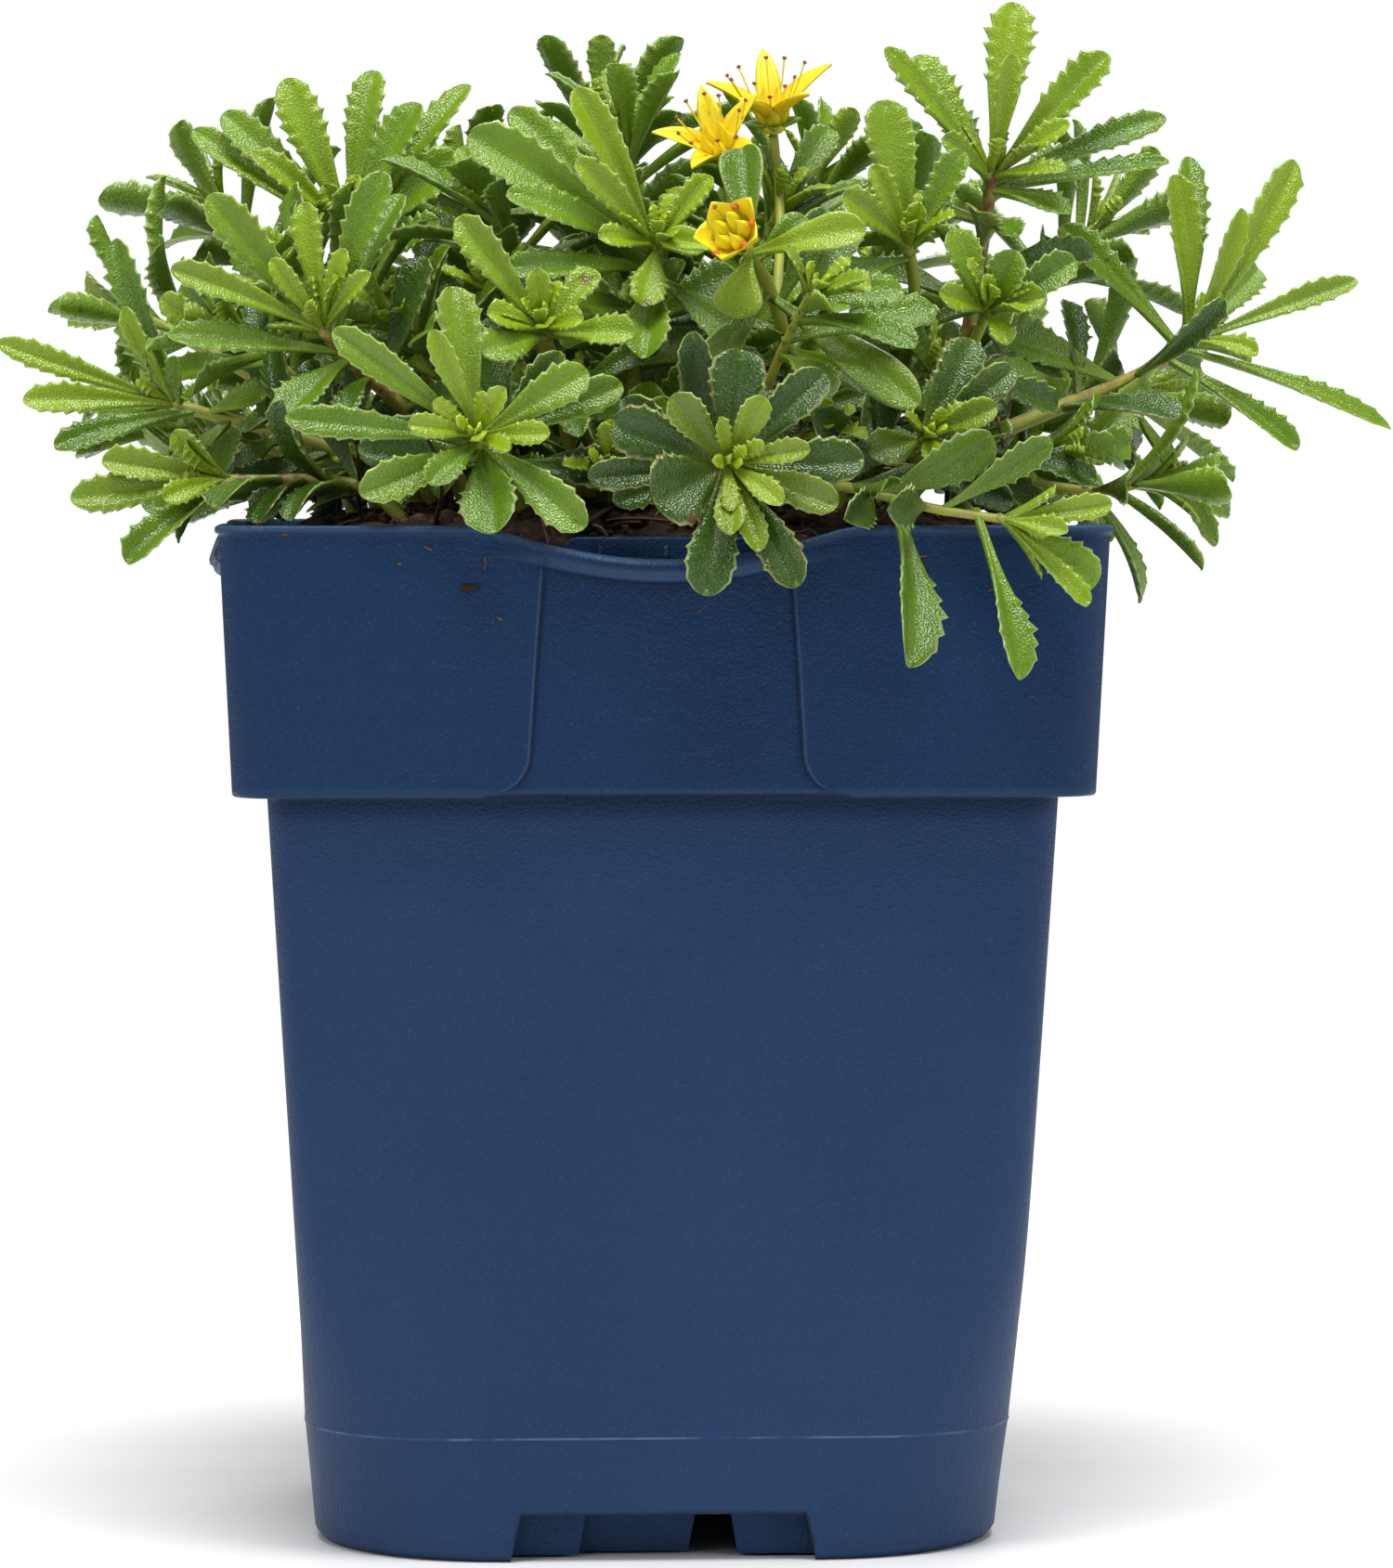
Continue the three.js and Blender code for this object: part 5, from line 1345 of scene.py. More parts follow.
def pot_ring(z, half, radius, edge, panel=0.0, dip=0.0, lip=0.0, hem_lift=0.0):
    """One ring of the pot, from the front's left corner round all four sides."""
    flat = half - radius
    x = side_columns(flat, edge)
    from_edge = min(edge, flat - 1) - np.abs(x)
    inside = np.clip(from_edge / PANEL_STEP + 0.5, 0, 1)
    inside = inside * inside * (3 - 2 * inside)
    bead = EDGE_BEAD * np.exp(-((from_edge + BEAD_OUT) / BEAD_SPREAD) ** 2) if panel else 0
    bulge = lip * np.clip(1 - (x / LIP_HALF) ** 2, 0, 1) ** LIP_ROUNDING
    y = -half + panel * inside - bulge - bead
    heights = z - dip * dip_at(x) + hem_lift * inside
    side = np.stack([x, y, heights], axis=1)
    angles = np.radians(-90 + 90 * (np.arange(1, CORNER_COLUMNS + 1)) / (CORNER_COLUMNS + 1))
    corner = np.stack([
        flat + radius * np.cos(angles),
        -flat + radius * np.sin(angles),
        np.full(CORNER_COLUMNS, z),
    ], axis=1)
    return np.concatenate(on_four_sides(np.concatenate([side, corner])))


# Under the floor: height, half width and corner radius.
UNDER_FLOOR = ((FLOOR_UNDERSIDE, 35.1, 17.7), (0.25, 34.2, 18.8))
# Height and how far inside the body: the foot's rounded edge, the plain body and its seam.
FOOT_EDGE = ((0.02, 1.0), (0, 0.7), (0.1, 0.25), (0.45, 0.05), (1.2, 0))
LOW_BODY = ((2.5, 0), (4, 0), (5.5, 0), (7, 0), (8.5, 0), (10, 0), (11.4, 0))
SEAM = ((12.7, 0), (12.86, -0.05), (13, -0.09), (13.14, -0.05), (13.3, 0))
# The plain body's heights: from, to and step, and the last one under the hem.
BODY_STEPS = (15, 79, 2.2)
BODY_TOP = 79.35
# Height and half width round the hem, from the body outwards.
HEM = ((79.42, 40.9), (79.35, 42.4), (79.32, 43.4), (79.4, 43.92), (79.62, SKIRT_HEM_HALF))
HEM_WIDTH = 3.2
SKIRT_STEPS = (
    np.linspace(80.1, 84.2, 12), np.arange(85.5, 98, 1.6), np.linspace(98, 104.3, 8),
)
# The skirt's rings begin to follow the dip here, and do so fully this much higher.
DIP_FROM = 92
DIP_RISE = 12
# Height and how far the lip bulges, under the lip.
UNDER_LIP = (
    (104.4, 0.05), (104.43, 0.4), (104.5, 0.85), (104.66, 1.25), (104.9, 1.6), (105.2, 1.8),
    (105.55, 1.85),
)
# Height, how far outside the skirt's top, and the lip's bulge, over the rim.
RIM = (
    (105.9, 0, 1.8), (106.12, 0.06, 1.72), (106.25, 0.34, 1.5), (106.45, BEAD_PROUD, 1.35),
    (106.75, BEAD_PROUD, 1.1), (106.95, 0.22, 0.85), (107, -0.1, 0.7), (107, -0.7, 0.5),
    (106.93, -1.05, 0.4), (106.7, -WALL, 0.3),
)
# Heights inside the skirt, how far they follow the dip, and heights inside the body.
INSIDE_SKIRT = ((100, 0.5), (96, 0.0), (82, 0.0), (80.7, 0.0))
INSIDE_RIM_Z = 105.5
INSIDE_BODY = (80.6, 60, 40, 26, 13, FLOOR_TOP)
INSIDE_RINGS = 1 + len(INSIDE_SKIRT) + len(INSIDE_BODY)


def pot_rings():
    """Rings from under the floor, up the outside, over the rim and down the inside."""
    rings = [pot_ring(z, half, radius, BASE_EDGE) for z, half, radius in UNDER_FLOOR]

    def body(z, inward=0.0):
        half, radius = body_section(min(z, BODY[-1][0]))
        rings.append(pot_ring(z, half - inward, radius - inward, BASE_EDGE))

    def skirt(z, half, panel, dip=0.0, lip=0.0, hem_lift=0.0):
        rings.append(pot_ring(z, half, SKIRT_RADIUS, panel_edge(z), panel, dip, lip, hem_lift))

    for z, inward in FOOT_EDGE + LOW_BODY + SEAM:
        body(z, inward)
    for z in np.arange(*BODY_STEPS):
        body(float(z))
    body(BODY_TOP)
    for z, half in HEM:
        skirt(z, half, PANEL_DEPTH * (half - HEM[0][1]) / HEM_WIDTH, hem_lift=HEM_LIFT)
    for z in np.concatenate(SKIRT_STEPS):
        dip = float(np.clip((z - DIP_FROM) / DIP_RISE, 0, 1))
        skirt(float(z), skirt_half(z), PANEL_DEPTH, dip)
    for z, lip in UNDER_LIP:
        skirt(z, skirt_half(z), PANEL_DEPTH, 1.0, lip)
    for z, outside, lip in RIM:
        half = SKIRT_TOP_HALF + outside
        rings.append(pot_ring(z, half, SKIRT_RADIUS, PANEL_TOP_HALF, 0.0, 1.0, lip))
    inside = [(INSIDE_RIM_Z, SKIRT_TOP_HALF, 1.0)]
    inside += [(z, skirt_half(z), dip) for z, dip in INSIDE_SKIRT]
    for z, half, dip in inside:
        rings.append(pot_ring(z, half - WALL, SKIRT_RADIUS - WALL, PANEL_TOP_HALF, 0.0, dip))
    for z in INSIDE_BODY:
        body(z, WALL)
    return np.array(rings)


def block_points(low, high):
    """A box as rings of a tube, so that it can join a builder."""
    (x0, y0, z0), (x1, y1, z1) = low, high
    ring = np.array([(x0, y0), (x1, y0), (x1, y1), (x0, y1)], float)
    return np.array([np.column_stack([ring, np.full(4, z)]) for z in (z0, z1)])


def cylinder_points(middle, rings, step):
    """A round body as rings of points round a middle, given each ring's radius and height."""
    angles = np.radians(np.arange(0, 360, step))
    return np.array([
        [(middle + radius * math.cos(a), middle + radius * math.sin(a), z) for a in angles]
        for radius, z in rings
    ])


# How far back the gate's cut goes, and the drain holes' radius and heights.
GATE_FRONT = -38
GATE_BACK = -33.2
DRAIN_CUT = ((DRAIN_RADIUS, 4), (DRAIN_RADIUS, 7))


def cut_gates(pot):
    """Cuts the water gates and the drain holes out of the pot's foot."""
    builder = Builder()
    outline = [
        (-GATE_HALF_LOW, -1), (GATE_HALF_LOW, -1),
        (GATE_HALF_HIGH, FLOOR_UNDERSIDE), (-GATE_HALF_HIGH, FLOOR_UNDERSIDE),
    ]
    gate = np.array([[(x, y, z) for x, z in outline] for y in (GATE_FRONT, GATE_BACK)], float)
    hole = cylinder_points(DRAIN_OFFSET, DRAIN_CUT, 15)
    for points in on_four_sides(gate[:, ::-1]) + on_four_sides(hole):
        builder.grid(points, marks_of(points), 0)
    cutter = builder.make("gate_cutter", [])
    modifier = pot.modifiers.new("gates", "BOOLEAN")
    modifier.operation = "DIFFERENCE"
    modifier.solver = "EXACT"
    modifier.object = cutter
    depsgraph = bpy.context.evaluated_depsgraph_get()
    cut = bpy.data.meshes.new_from_object(pot.evaluated_get(depsgraph))
    pot.modifiers.clear()
    spare = [pot.data, cutter.data]
    pot.data = cut
    bpy.data.objects.remove(cutter)
    for mesh in spare:
        bpy.data.meshes.remove(mesh)


# How far below the hem the painted shadow reaches, how much painted shade the angles get, and how
# much painted highlight the edges get.
SHADE_REACH = 3.6
SHADE_AT_PANELS = 0.75
SHADE_UNDER_LIP = 0.7
HIGHLIGHT_ON_EDGES = 0.6
HIGHLIGHT_ON_HEM = 0.2
# Heights of the panels, the hem, the rim, the lip and the angle under the lip.
PANEL_BAND = (SKIRT_HEM_Z, 104.4)
HEM_BAND = (SKIRT_HEM_Z, 80.2)
RIM_BAND = (106.4, 106.99)
LIP_BAND = (104.8, 105.6)
UNDER_LIP_BAND = (104.2, 104.6)


def pot_marks(rings):
    """Marks the skirt, which gets painted shade, the painted highlights on the edges, the rim and
    the lip, and the painted shade in the angles and under the hem.
    The painted highlight goes in the share, the painted shade in the edge and the skirt in the
    tint."""
    height = rings[..., 2]
    top = height.max(axis=1)
    outside = np.arange(len(rings)) < len(rings) - INSIDE_RINGS
    painted_highlight = np.zeros(height.shape)
    painted_shade = np.zeros(height.shape)
    side = side_columns(SKIRT_TOP_HALF - SKIRT_RADIUS, PANEL_HEM_HALF)
    past_edge = np.abs(side) - PANEL_HEM_HALF
    beads = (np.abs(past_edge - 0.2) < 0.11) & (past_edge > 0)
    feet = (past_edge < -0.05) & (past_edge > -0.25)
    crest = np.sqrt(np.clip(1 - (side / LIP_HALF) ** 2, 0, 1))
    fronts = np.arange(4)[:, None] * (height.shape[1] // 4)

    def between(low, high):
        return (top > low) & (top < high) & outside

    def mark(marks, rows, columns, value):
        for first in fronts:
            marks[np.ix_(rows, first + columns)] = value

    every = np.arange(len(side))
    # Painted highlights along the beads beside the panels.
    mark(painted_highlight, between(*PANEL_BAND), np.flatnonzero(beads), HIGHLIGHT_ON_EDGES)
    # Painted shade at the foot of each panel's step.
    mark(painted_shade, between(*PANEL_BAND), np.flatnonzero(feet), SHADE_AT_PANELS)
    # Painted shadow under the hem, fading out downwards.
    below_hem = np.clip((top - SKIRT_HEM_Z + SHADE_REACH) / SHADE_REACH, 0, 1) ** 2
    below_hem[(top > SKIRT_HEM_Z) | ~outside] = 0
    painted_shade = np.maximum(painted_shade, below_hem[:, None])
    # Painted highlights along the hem, along the rim and on the lip's crest.
    painted_highlight[between(*HEM_BAND)] = HIGHLIGHT_ON_HEM
    painted_highlight[between(*RIM_BAND)] = HIGHLIGHT_ON_EDGES
    mark(painted_highlight, between(*LIP_BAND), every, HIGHLIGHT_ON_EDGES * crest)
    # Painted shade under the lip.
    mark(painted_shade, between(*UNDER_LIP_BAND), every, SHADE_UNDER_LIP * crest)
    # The skirt is painted darker: painted shade of the leaves that hang over it.
    skirt = (top > SKIRT_HEM_Z - 0.3) & outside
    return marks_of(rings, share=painted_highlight, edge=painted_shade, tint=skirt[:, None])


RIB_HALF = 0.25
# How much painted highlight the label pocket's ribs get.
RIB_HIGHLIGHT = 0.9
INNER_BEVEL = 0.25


def make_pot(material):
    """The pot's shell, and in a piece of its own the flat walls inside and under it."""
    builder = Builder()
    rings = pot_rings()
    builder.grid(rings, pot_marks(rings), 0)
    pot = builder.make("pot_shell", [material])
    cut_gates(pot)
    finish_piece(pot, "pot")

    builder = Builder()
    face = -(SKIRT_TOP_HALF - WALL)
    inner = face + POCKET_DEPTH
    walls = [(pocket_tab(inner), 0)]
    for x in (-POCKET_HALF, POCKET_HALF - WALL):
        low = (x, face - 0.3, POCKET_FLOOR)
        walls.append((block_points(low, (x + WALL, inner + 0.3, POCKET_TOP - 1.2)), 0))
    walls += [(slanted_block(*baffle), 0) for baffle in BAFFLES]
    # The ribs carry painted highlight.
    for x in POCKET_RIBS:
        low = (x - RIB_HALF, inner - 0.3, POCKET_TOP - 2.2)
        walls.append((block_points(low, (x + RIB_HALF, inner + 0.2, POCKET_TOP - 0.9)), RIB_HIGHLIGHT))
    for wall, painted_highlight in walls:
        for points in on_four_sides(wall):
            builder.grid(points, marks_of(points, share=painted_highlight), 0)
    hub_rings = [(HUB_RADIUS - HUB_CHAMFER, 0)] + [(HUB_RADIUS, z) for z in FOOT_WALLS]
    hub = cylinder_points(0, hub_rings, 12)
    builder.grid(hub, marks_of(hub), 0)
    inside = builder.make("pot_inner_walls", [material], smooth=False)
    bevel = inside.modifiers.new("soft_edges", "BEVEL")
    bevel.width = INNER_BEVEL * MM
    bevel.segments = 2
    finish_piece(inside, None)


def slanted_block(low, high, back, slant):
    """A wall behind the gate, leaning sideways by its slant."""
    y0 = -FOOT_HALF + back
    y1 = y0 + BAFFLE_THICKNESS
    rings = []
    for z, lean in zip(FOOT_WALLS, (-slant, slant)):
        x0, x1 = low + lean, high + lean
        rings.append([(x0, y0, z), (x1, y0, z), (x1, y1, z), (x0, y1, z)])
    return np.array(rings, float)


def pocket_tab(inner):
    """The label pocket's inner wall, its top corners rounded."""
    rings = []
    start = POCKET_TOP - POCKET_ROUNDING
    for z in np.concatenate([[POCKET_FLOOR], np.linspace(start, POCKET_TOP, 7)]):
        lift = max(z - start, 0) / POCKET_ROUNDING
        half = POCKET_HALF - POCKET_ROUNDING * (1 - math.sqrt(max(1 - lift ** 2, 0)))
        back = inner + WALL
        rings.append([(-half, inner, z), (half, inner, z), (half, back, z), (-half, back, z)])
    return np.array(rings, float)


# Soil.

def noise_of(draw_table, x, y, scale):
    """Smooth value noise from a seeded table, between -1 and 1."""
    u, v = x / scale, y / scale
    i, j = np.floor(u).astype(int), np.floor(v).astype(int)
    fu, fv = u - i, v - j
    fu, fv = fu * fu * (3 - 2 * fu), fv * fv * (3 - 2 * fv)
    side = draw_table.shape[0]

    def value(a, b):
        return draw_table[a % side, b % side]

    low = value(i, j) * (1 - fu) + value(i + 1, j) * fu
    high = value(i, j + 1) * (1 - fu) + value(i + 1, j + 1) * fu
    return low * (1 - fv) + high * fv


def within_corners(x, y, half, radius):
    """Draws the points past a square's rounded corners back onto them."""
    middle = half - radius
    out_x = np.maximum(np.abs(x) - middle, 0)
    out_y = np.maximum(np.abs(y) - middle, 0)
    out = np.maximum(np.hypot(out_x, out_y), 1e-9)
    pull = np.where((out_x > 0) & (out_y > 0), np.minimum(radius / out, 1), 1)
    pulled_x = np.where(out_x > 0, np.sign(x) * (middle + out_x * pull), x)
    pulled_y = np.where(out_y > 0, np.sign(y) * (middle + out_y * pull), y)
    return pulled_x, pulled_y


# Lines each way over the soil, the foot of its sides, and its height behind a label pocket.
SOIL_LINES = 121
SOIL_FOOT = 95
POCKET_BEHIND = 96.2
NOISE_SEED = 7
# Swells in the soil: height, size, and the shift that sets each apart.
SWELLS = ((0.55, 5, 0, 0), (0.4, 1.9, 31, 17), (0.3, 0.9, 7, 3))
CRUMB_SEED = 77
CRUMBS = 1200
FIBRES = 190
DEAD_TWIGS = 26
# The lump of peat behind the dip, and strands seen among the leaves.
CLUMP = (-12.6, -41, 104.2)
CLUMP_SIZE = (4.4, 3, 2.4)
CLUMP_LUMPS = 26
LOOSE_STRANDS = (
    ((-13, -42, 108.8), (-12.4, -43, 106.5), (-12, -43.6, 104.9)),
    ((-7.4, -42.5, 107), (-6.6, -43.2, 106.7), (-6, -43.4, 105.8)),
    ((31.6, -27, 125.4), (32.6, -29, 121.5), (34.6, -29.5, 118.6), (35.6, -29, 114.9)),
    ((34, -27.5, 121.6), (33.2, -29.5, 117.6), (34, -30, 113.6)),
    ((36.8, -24, 119.4), (35.8, -27, 117.4), (33.6, -28, 116.6)),
)
STRAND_RADIUS = 0.16
PEAT, FIBRE = 0, 1


def soil_top(builder, half, pocket):
    """The soil's surface and the sides below it, kept out of the label pockets."""
    table = np.random.default_rng(NOISE_SEED).uniform(-1, 1, (64, 64))
    lines = np.linspace(-half, half, SOIL_LINES)
    x, y = np.meshgrid(lines, lines)
    z = np.array([[soil_height(a, b) for a in lines] for b in lines])
    for height, scale, right, back in SWELLS:
        z = z + height * noise_of(table, x + right, y + back, scale)
    for along_side, across_side in ((x, y), (y, x)):
        for sign in (-1, 1):
            near = sign * across_side > half - pocket
            behind = (np.abs(along_side) < POCKET_HALF + 0.3) & near
            z = np.where(behind, POCKET_BEHIND, z)
    x, y = within_corners(x, y, half, SKIRT_RADIUS - WALL)
    top = np.stack([x, y, z], axis=-1)
    tone = 0.5 + 0.5 * noise_of(table, x + 11, y + 5, 3)
    builder.grid(top, marks_of(top, tone=tone), PEAT, closed=False)
    edges = (top[0], top[:, -1], top[-1, ::-1], top[::-1, 0])
    rim = np.concatenate([edge[:-1] for edge in edges])
    low = rim * 0.988
    low[:, 2] = SOIL_FOOT
    sides = np.array([low, rim])
    builder.grid(sides, marks_of(sides), PEAT, ends=(True, False))


def make_soil(materials):
    """The soil's surface with its crumbs, fibres, dead twigs and loose strands."""
    builder = Builder()
    half = SKIRT_TOP_HALF - WALL - 0.25
    pocket = POCKET_DEPTH + WALL + 0.3
    soil_top(builder, half, pocket)
    draw = drawer(CRUMB_SEED)
    for _ in range(CRUMBS):
        px, py = (half - 0.8) * (2 * draw() - 1), (half - 0.8) * (2 * draw() - 1)
        height = soil_height(px, py) + 0.35 * (draw() - 0.2)
        if max(abs(px), abs(py)) > half - pocket and min(abs(px), abs(py)) < POCKET_HALF + 1:
            continue
        crumb(builder, (px, py, height), 0.25 + 0.85 * draw() ** 2, draw)
    for _ in range(FIBRES):
        px, py = (half - 3.5) * (2 * draw() - 1), (half - 3.5) * (2 * draw() - 1)
        fibre(builder, (px, py), 2 * math.pi * draw(), 2.5 + 7 * draw() ** 2, draw, half)
    for _ in range(DEAD_TWIGS):
        twig(builder, draw)
    for _ in range(CLUMP_LUMPS):
        place = tuple(c + spread * (draw() - 0.5) for c, spread in zip(CLUMP, CLUMP_SIZE))
        crumb(builder, place, 0.4 + 0.8 * draw(), draw)
    for points in LOOSE_STRANDS:
        path = catmull(points, 10)
        tube(builder, path, [STRAND_RADIUS] * len(path), 5, FIBRE, tone=0.35)
    piece = builder.make("soil_surface", materials)
    finish_piece(piece, "soil")


TWIG_REACH = 34
TWIG_POINTS = 9


def twig(builder, draw):
    """A thin dead stem, standing or leaning out of the soil."""
    x, y = TWIG_REACH * (2 * draw() - 1), TWIG_REACH * (2 * draw() - 1)
    point = (x, y, soil_height(x, y) - 0.5)
    heading = unit((draw() - 0.5, draw() - 0.5, 0.35 + 0.4 * draw()))
    path = []
    step = 1.2 + 1.3 * draw()
    for _ in range(TWIG_POINTS):
        path.append(point)
        turn = (0.5 * (draw() - 0.5), 0.5 * (draw() - 0.5), 0.3 * (draw() - 0.5))
        heading = unit(add(heading, turn))
        point = along(point, heading, step)
    radii = [0.3 - 0.02 * i + 0.06 * draw() for i in range(TWIG_POINTS)]
    tube(builder, path, radii, 5, FIBRE, tone=0.3 * draw())


CRUMB_SIDES = 6


def crumb(builder, place, radius, draw):
    """A small rough lump."""
    path = [along(place, (0.2, 0.1, 1), radius * k) for k in (-0.9, -0.5, 0.2, 0.75)]
    radii = [radius * value * (0.8 + 0.4 * draw()) for value in (0.5, 1, 0.95, 0.35)]
    rings = tube_rings(path, radii, CRUMB_SIDES)
    shake = 1 + 0.35 * (np.array([draw() for _ in range(CRUMB_SIDES)]) - 0.5)
    centre = rings.mean(axis=1, keepdims=True)
    rings = centre + (rings - centre) * shake[None, :, None]
    builder.grid(rings, marks_of(rings, tone=draw()), PEAT)


FIBRE_POINTS = 8


def fibre(builder, place, heading, length, draw, half):
    """A thin root or coir fibre lying on the soil."""
    path = []
    x, y = place
    turn = (draw() - 0.5) * 0.5
    parts = FIBRE_POINTS - 1
    reach = half - 4
    for step in range(FIBRE_POINTS):
        lift = 0.35 + 0.5 * math.sin(step / parts * math.pi) * draw()
        path.append((x, y, soil_height(x, y) + lift))
        heading += turn + (draw() - 0.5) * 0.5
        x = min(max(x + math.cos(heading) * length / parts, -reach), reach)
        y = min(max(y + math.sin(heading) * length / parts, -reach), reach)
    width = 0.07 + 0.12 * draw()
    tube(builder, path, [width] * FIBRE_POINTS, 4, FIBRE, tone=draw())


# Crumbs and rootlets left on the skirt: how far right and up on the front, length and slant.
SPECKS = (
    (-20, 100.7, 1.7, 5), (-18.4, 103.2, 1.5, 85), (-24.2, 104.7, 1, -25), (-17, 97.6, 0.6, -30),
    (-27.1, 103.1, 0.4, 0), (-14, 104.3, 0.6, 50), (-38.6, 106.1, 0.7, 0), (3.6, 98.6, 1.5, 40),
    (25.2, 103.8, 2.4, 0), (26.1, 102.6, 2, -70), (32.7, 100.4, 0.5, 20),
)


# The one lump among the specks is known by its length.
LUMP_LENGTH = 1.7
LUMP_GAIN = 3.4
SPECK_SEED = 31
SPECK_PARTS = 5


def make_specks(materials):
    """Small crumbs and rootlets that cling to the front of the skirt."""
    builder = Builder()
    draw = drawer(SPECK_SEED)
    for right, up, length, slant in SPECKS:
        depth = PANEL_DEPTH if abs(right) < panel_edge(up) else 0
        face = -skirt_half(up) + depth
        path = []
        for step in range(SPECK_PARTS + 1):
            k = step / SPECK_PARTS - 0.5
            angle = math.radians(slant) + 0.9 * k * (draw() - 0.3)
            x, z = right + math.cos(angle) * length * k, up + math.sin(angle) * length * k
            path.append((x, face - 0.08, z))
        radius = 0.11 if length > 0.7 else 0.16
        thick = LUMP_GAIN if length == LUMP_LENGTH else 1
        radii = [radius * thick * (0.5 + 0.7 * draw()) for _ in path]
        rings = tube_rings(path, radii, 6)
        rings[..., 1] = np.maximum(rings[..., 1], face - 0.3)
        builder.grid(rings, marks_of(rings, tone=draw()), PEAT if thick > 1 else FIBRE)
    piece = builder.make("soil_specks", materials)
    finish_piece(piece, None)


# Materials. Colours are linear.

class Nodes:
    """Short calls for a material's node tree."""

    def __init__(self, name):
        self.material = bpy.data.materials.new(name)
        self.material.use_nodes = True
        self.tree = self.material.node_tree
        self.shader = self.tree.nodes["Principled BSDF"]
        self.place = None

    def node(self, kind, **values):
        node = self.tree.nodes.new(kind)
        for key, value in values.items():
            setattr(node, key, value)
        return node

    def link(self, output, socket):
        self.tree.links.new(output, socket)

    def set(self, **values):
        for key, value in values.items():
            self.shader.inputs[key.replace("_", " ")].default_value = value

    def fill(self, node, **values):
        """Sets a node's inputs by name."""
        for key, value in values.items():
            self.feed(node.inputs[key.replace("_", " ")], value)

    def feed(self, socket, value):
        """Links a socket to another node's output, or gives it a colour or a number."""
        if isinstance(value, bpy.types.NodeSocket):
            self.link(value, socket)
        elif isinstance(value, tuple):
            socket.default_value = (*value, 1)[:4]
        else:
            socket.default_value = value

    def on_object(self):
        """The place on the object, in metres."""
        if self.place is None:
            self.place = self.node("ShaderNodeTexCoord").outputs["Object"]
        return self.place

    def noise(self, scale, detail, roughness=0.5):
        node = self.node("ShaderNodeTexNoise")
        self.fill(node, Scale=scale, Detail=detail, Roughness=roughness, Vector=self.on_object())
        return node.outputs["Fac"]

    def voronoi(self, scale):
        node = self.node("ShaderNodeTexVoronoi", feature="F1")
        self.fill(node, Scale=scale, Vector=self.on_object())
        return node.outputs["Distance"]

    def marks(self, layer):
        attribute = self.node("ShaderNodeAttribute", attribute_name=layer)
        split = self.node("ShaderNodeSeparateColor")
        self.link(attribute.outputs["Color"], split.inputs["Color"])
        return *(split.outputs[key] for key in ("Red", "Green", "Blue")), attribute.outputs["Alpha"]

    def mix(self, factor, first, second):
        node = self.node("ShaderNodeMix", data_type="RGBA", blend_type="MIX")
        for index, value in ((0, factor), (6, first), (7, second)):
            self.feed(node.inputs[index], value)
        return node.outputs[2]

    def lay(self, under, amount, strength, over):
        """Lays a colour over another by an amount from 0 to 1, at a strength."""
        return self.mix(self.math("MULTIPLY", amount, strength), under, over)

    def math(self, operation, first, second=0.0, clamp=False):
        node = self.node("ShaderNodeMath", operation=operation, use_clamp=clamp)
        self.feed(node.inputs[0], first)
        self.feed(node.inputs[1], second)
        return node.outputs[0]

    def between(self, value, low, high, to_low=0.0, to_high=1.0):
        node = self.node("ShaderNodeMapRange", interpolation_type="SMOOTHSTEP")
        self.fill(node, Value=value, From_Min=low, From_Max=high, To_Min=to_low, To_Max=to_high)
        return node.outputs["Result"]

    def bump(self, height, strength, distance):
        node = self.node("ShaderNodeBump")
        self.fill(node, Strength=strength, Distance=distance, Height=height)
        return node.outputs["Normal"]

    def finish(self, colour, roughness=None, normal=None):
        for key, output in (("Base Color", colour), ("Roughness", roughness), ("Normal", normal)):
            if output is not None:
                self.link(output, self.shader.inputs[key])
        return self.material


LEAF_COLOURS = dict(
    dark=(0.07, 0.172, 0.002), bright=(0.185, 0.318, 0.005), patch=(0.22, 0.37, 0.01),
    darkened=(0.013, 0.048, 0.003), young=(0.4, 0.52, 0.01), withered=(0.3, 0.27, 0.06),
    foot=(0.24, 0.32, 0.05), stipple=(0.3, 0.44, 0.05), paler=(0.2, 0.3, 0.05),
    margin=(0.46, 0.55, 0.2), brown=(0.19, 0.08, 0.03), blotch=(0.09, 0.05, 0.02),
)


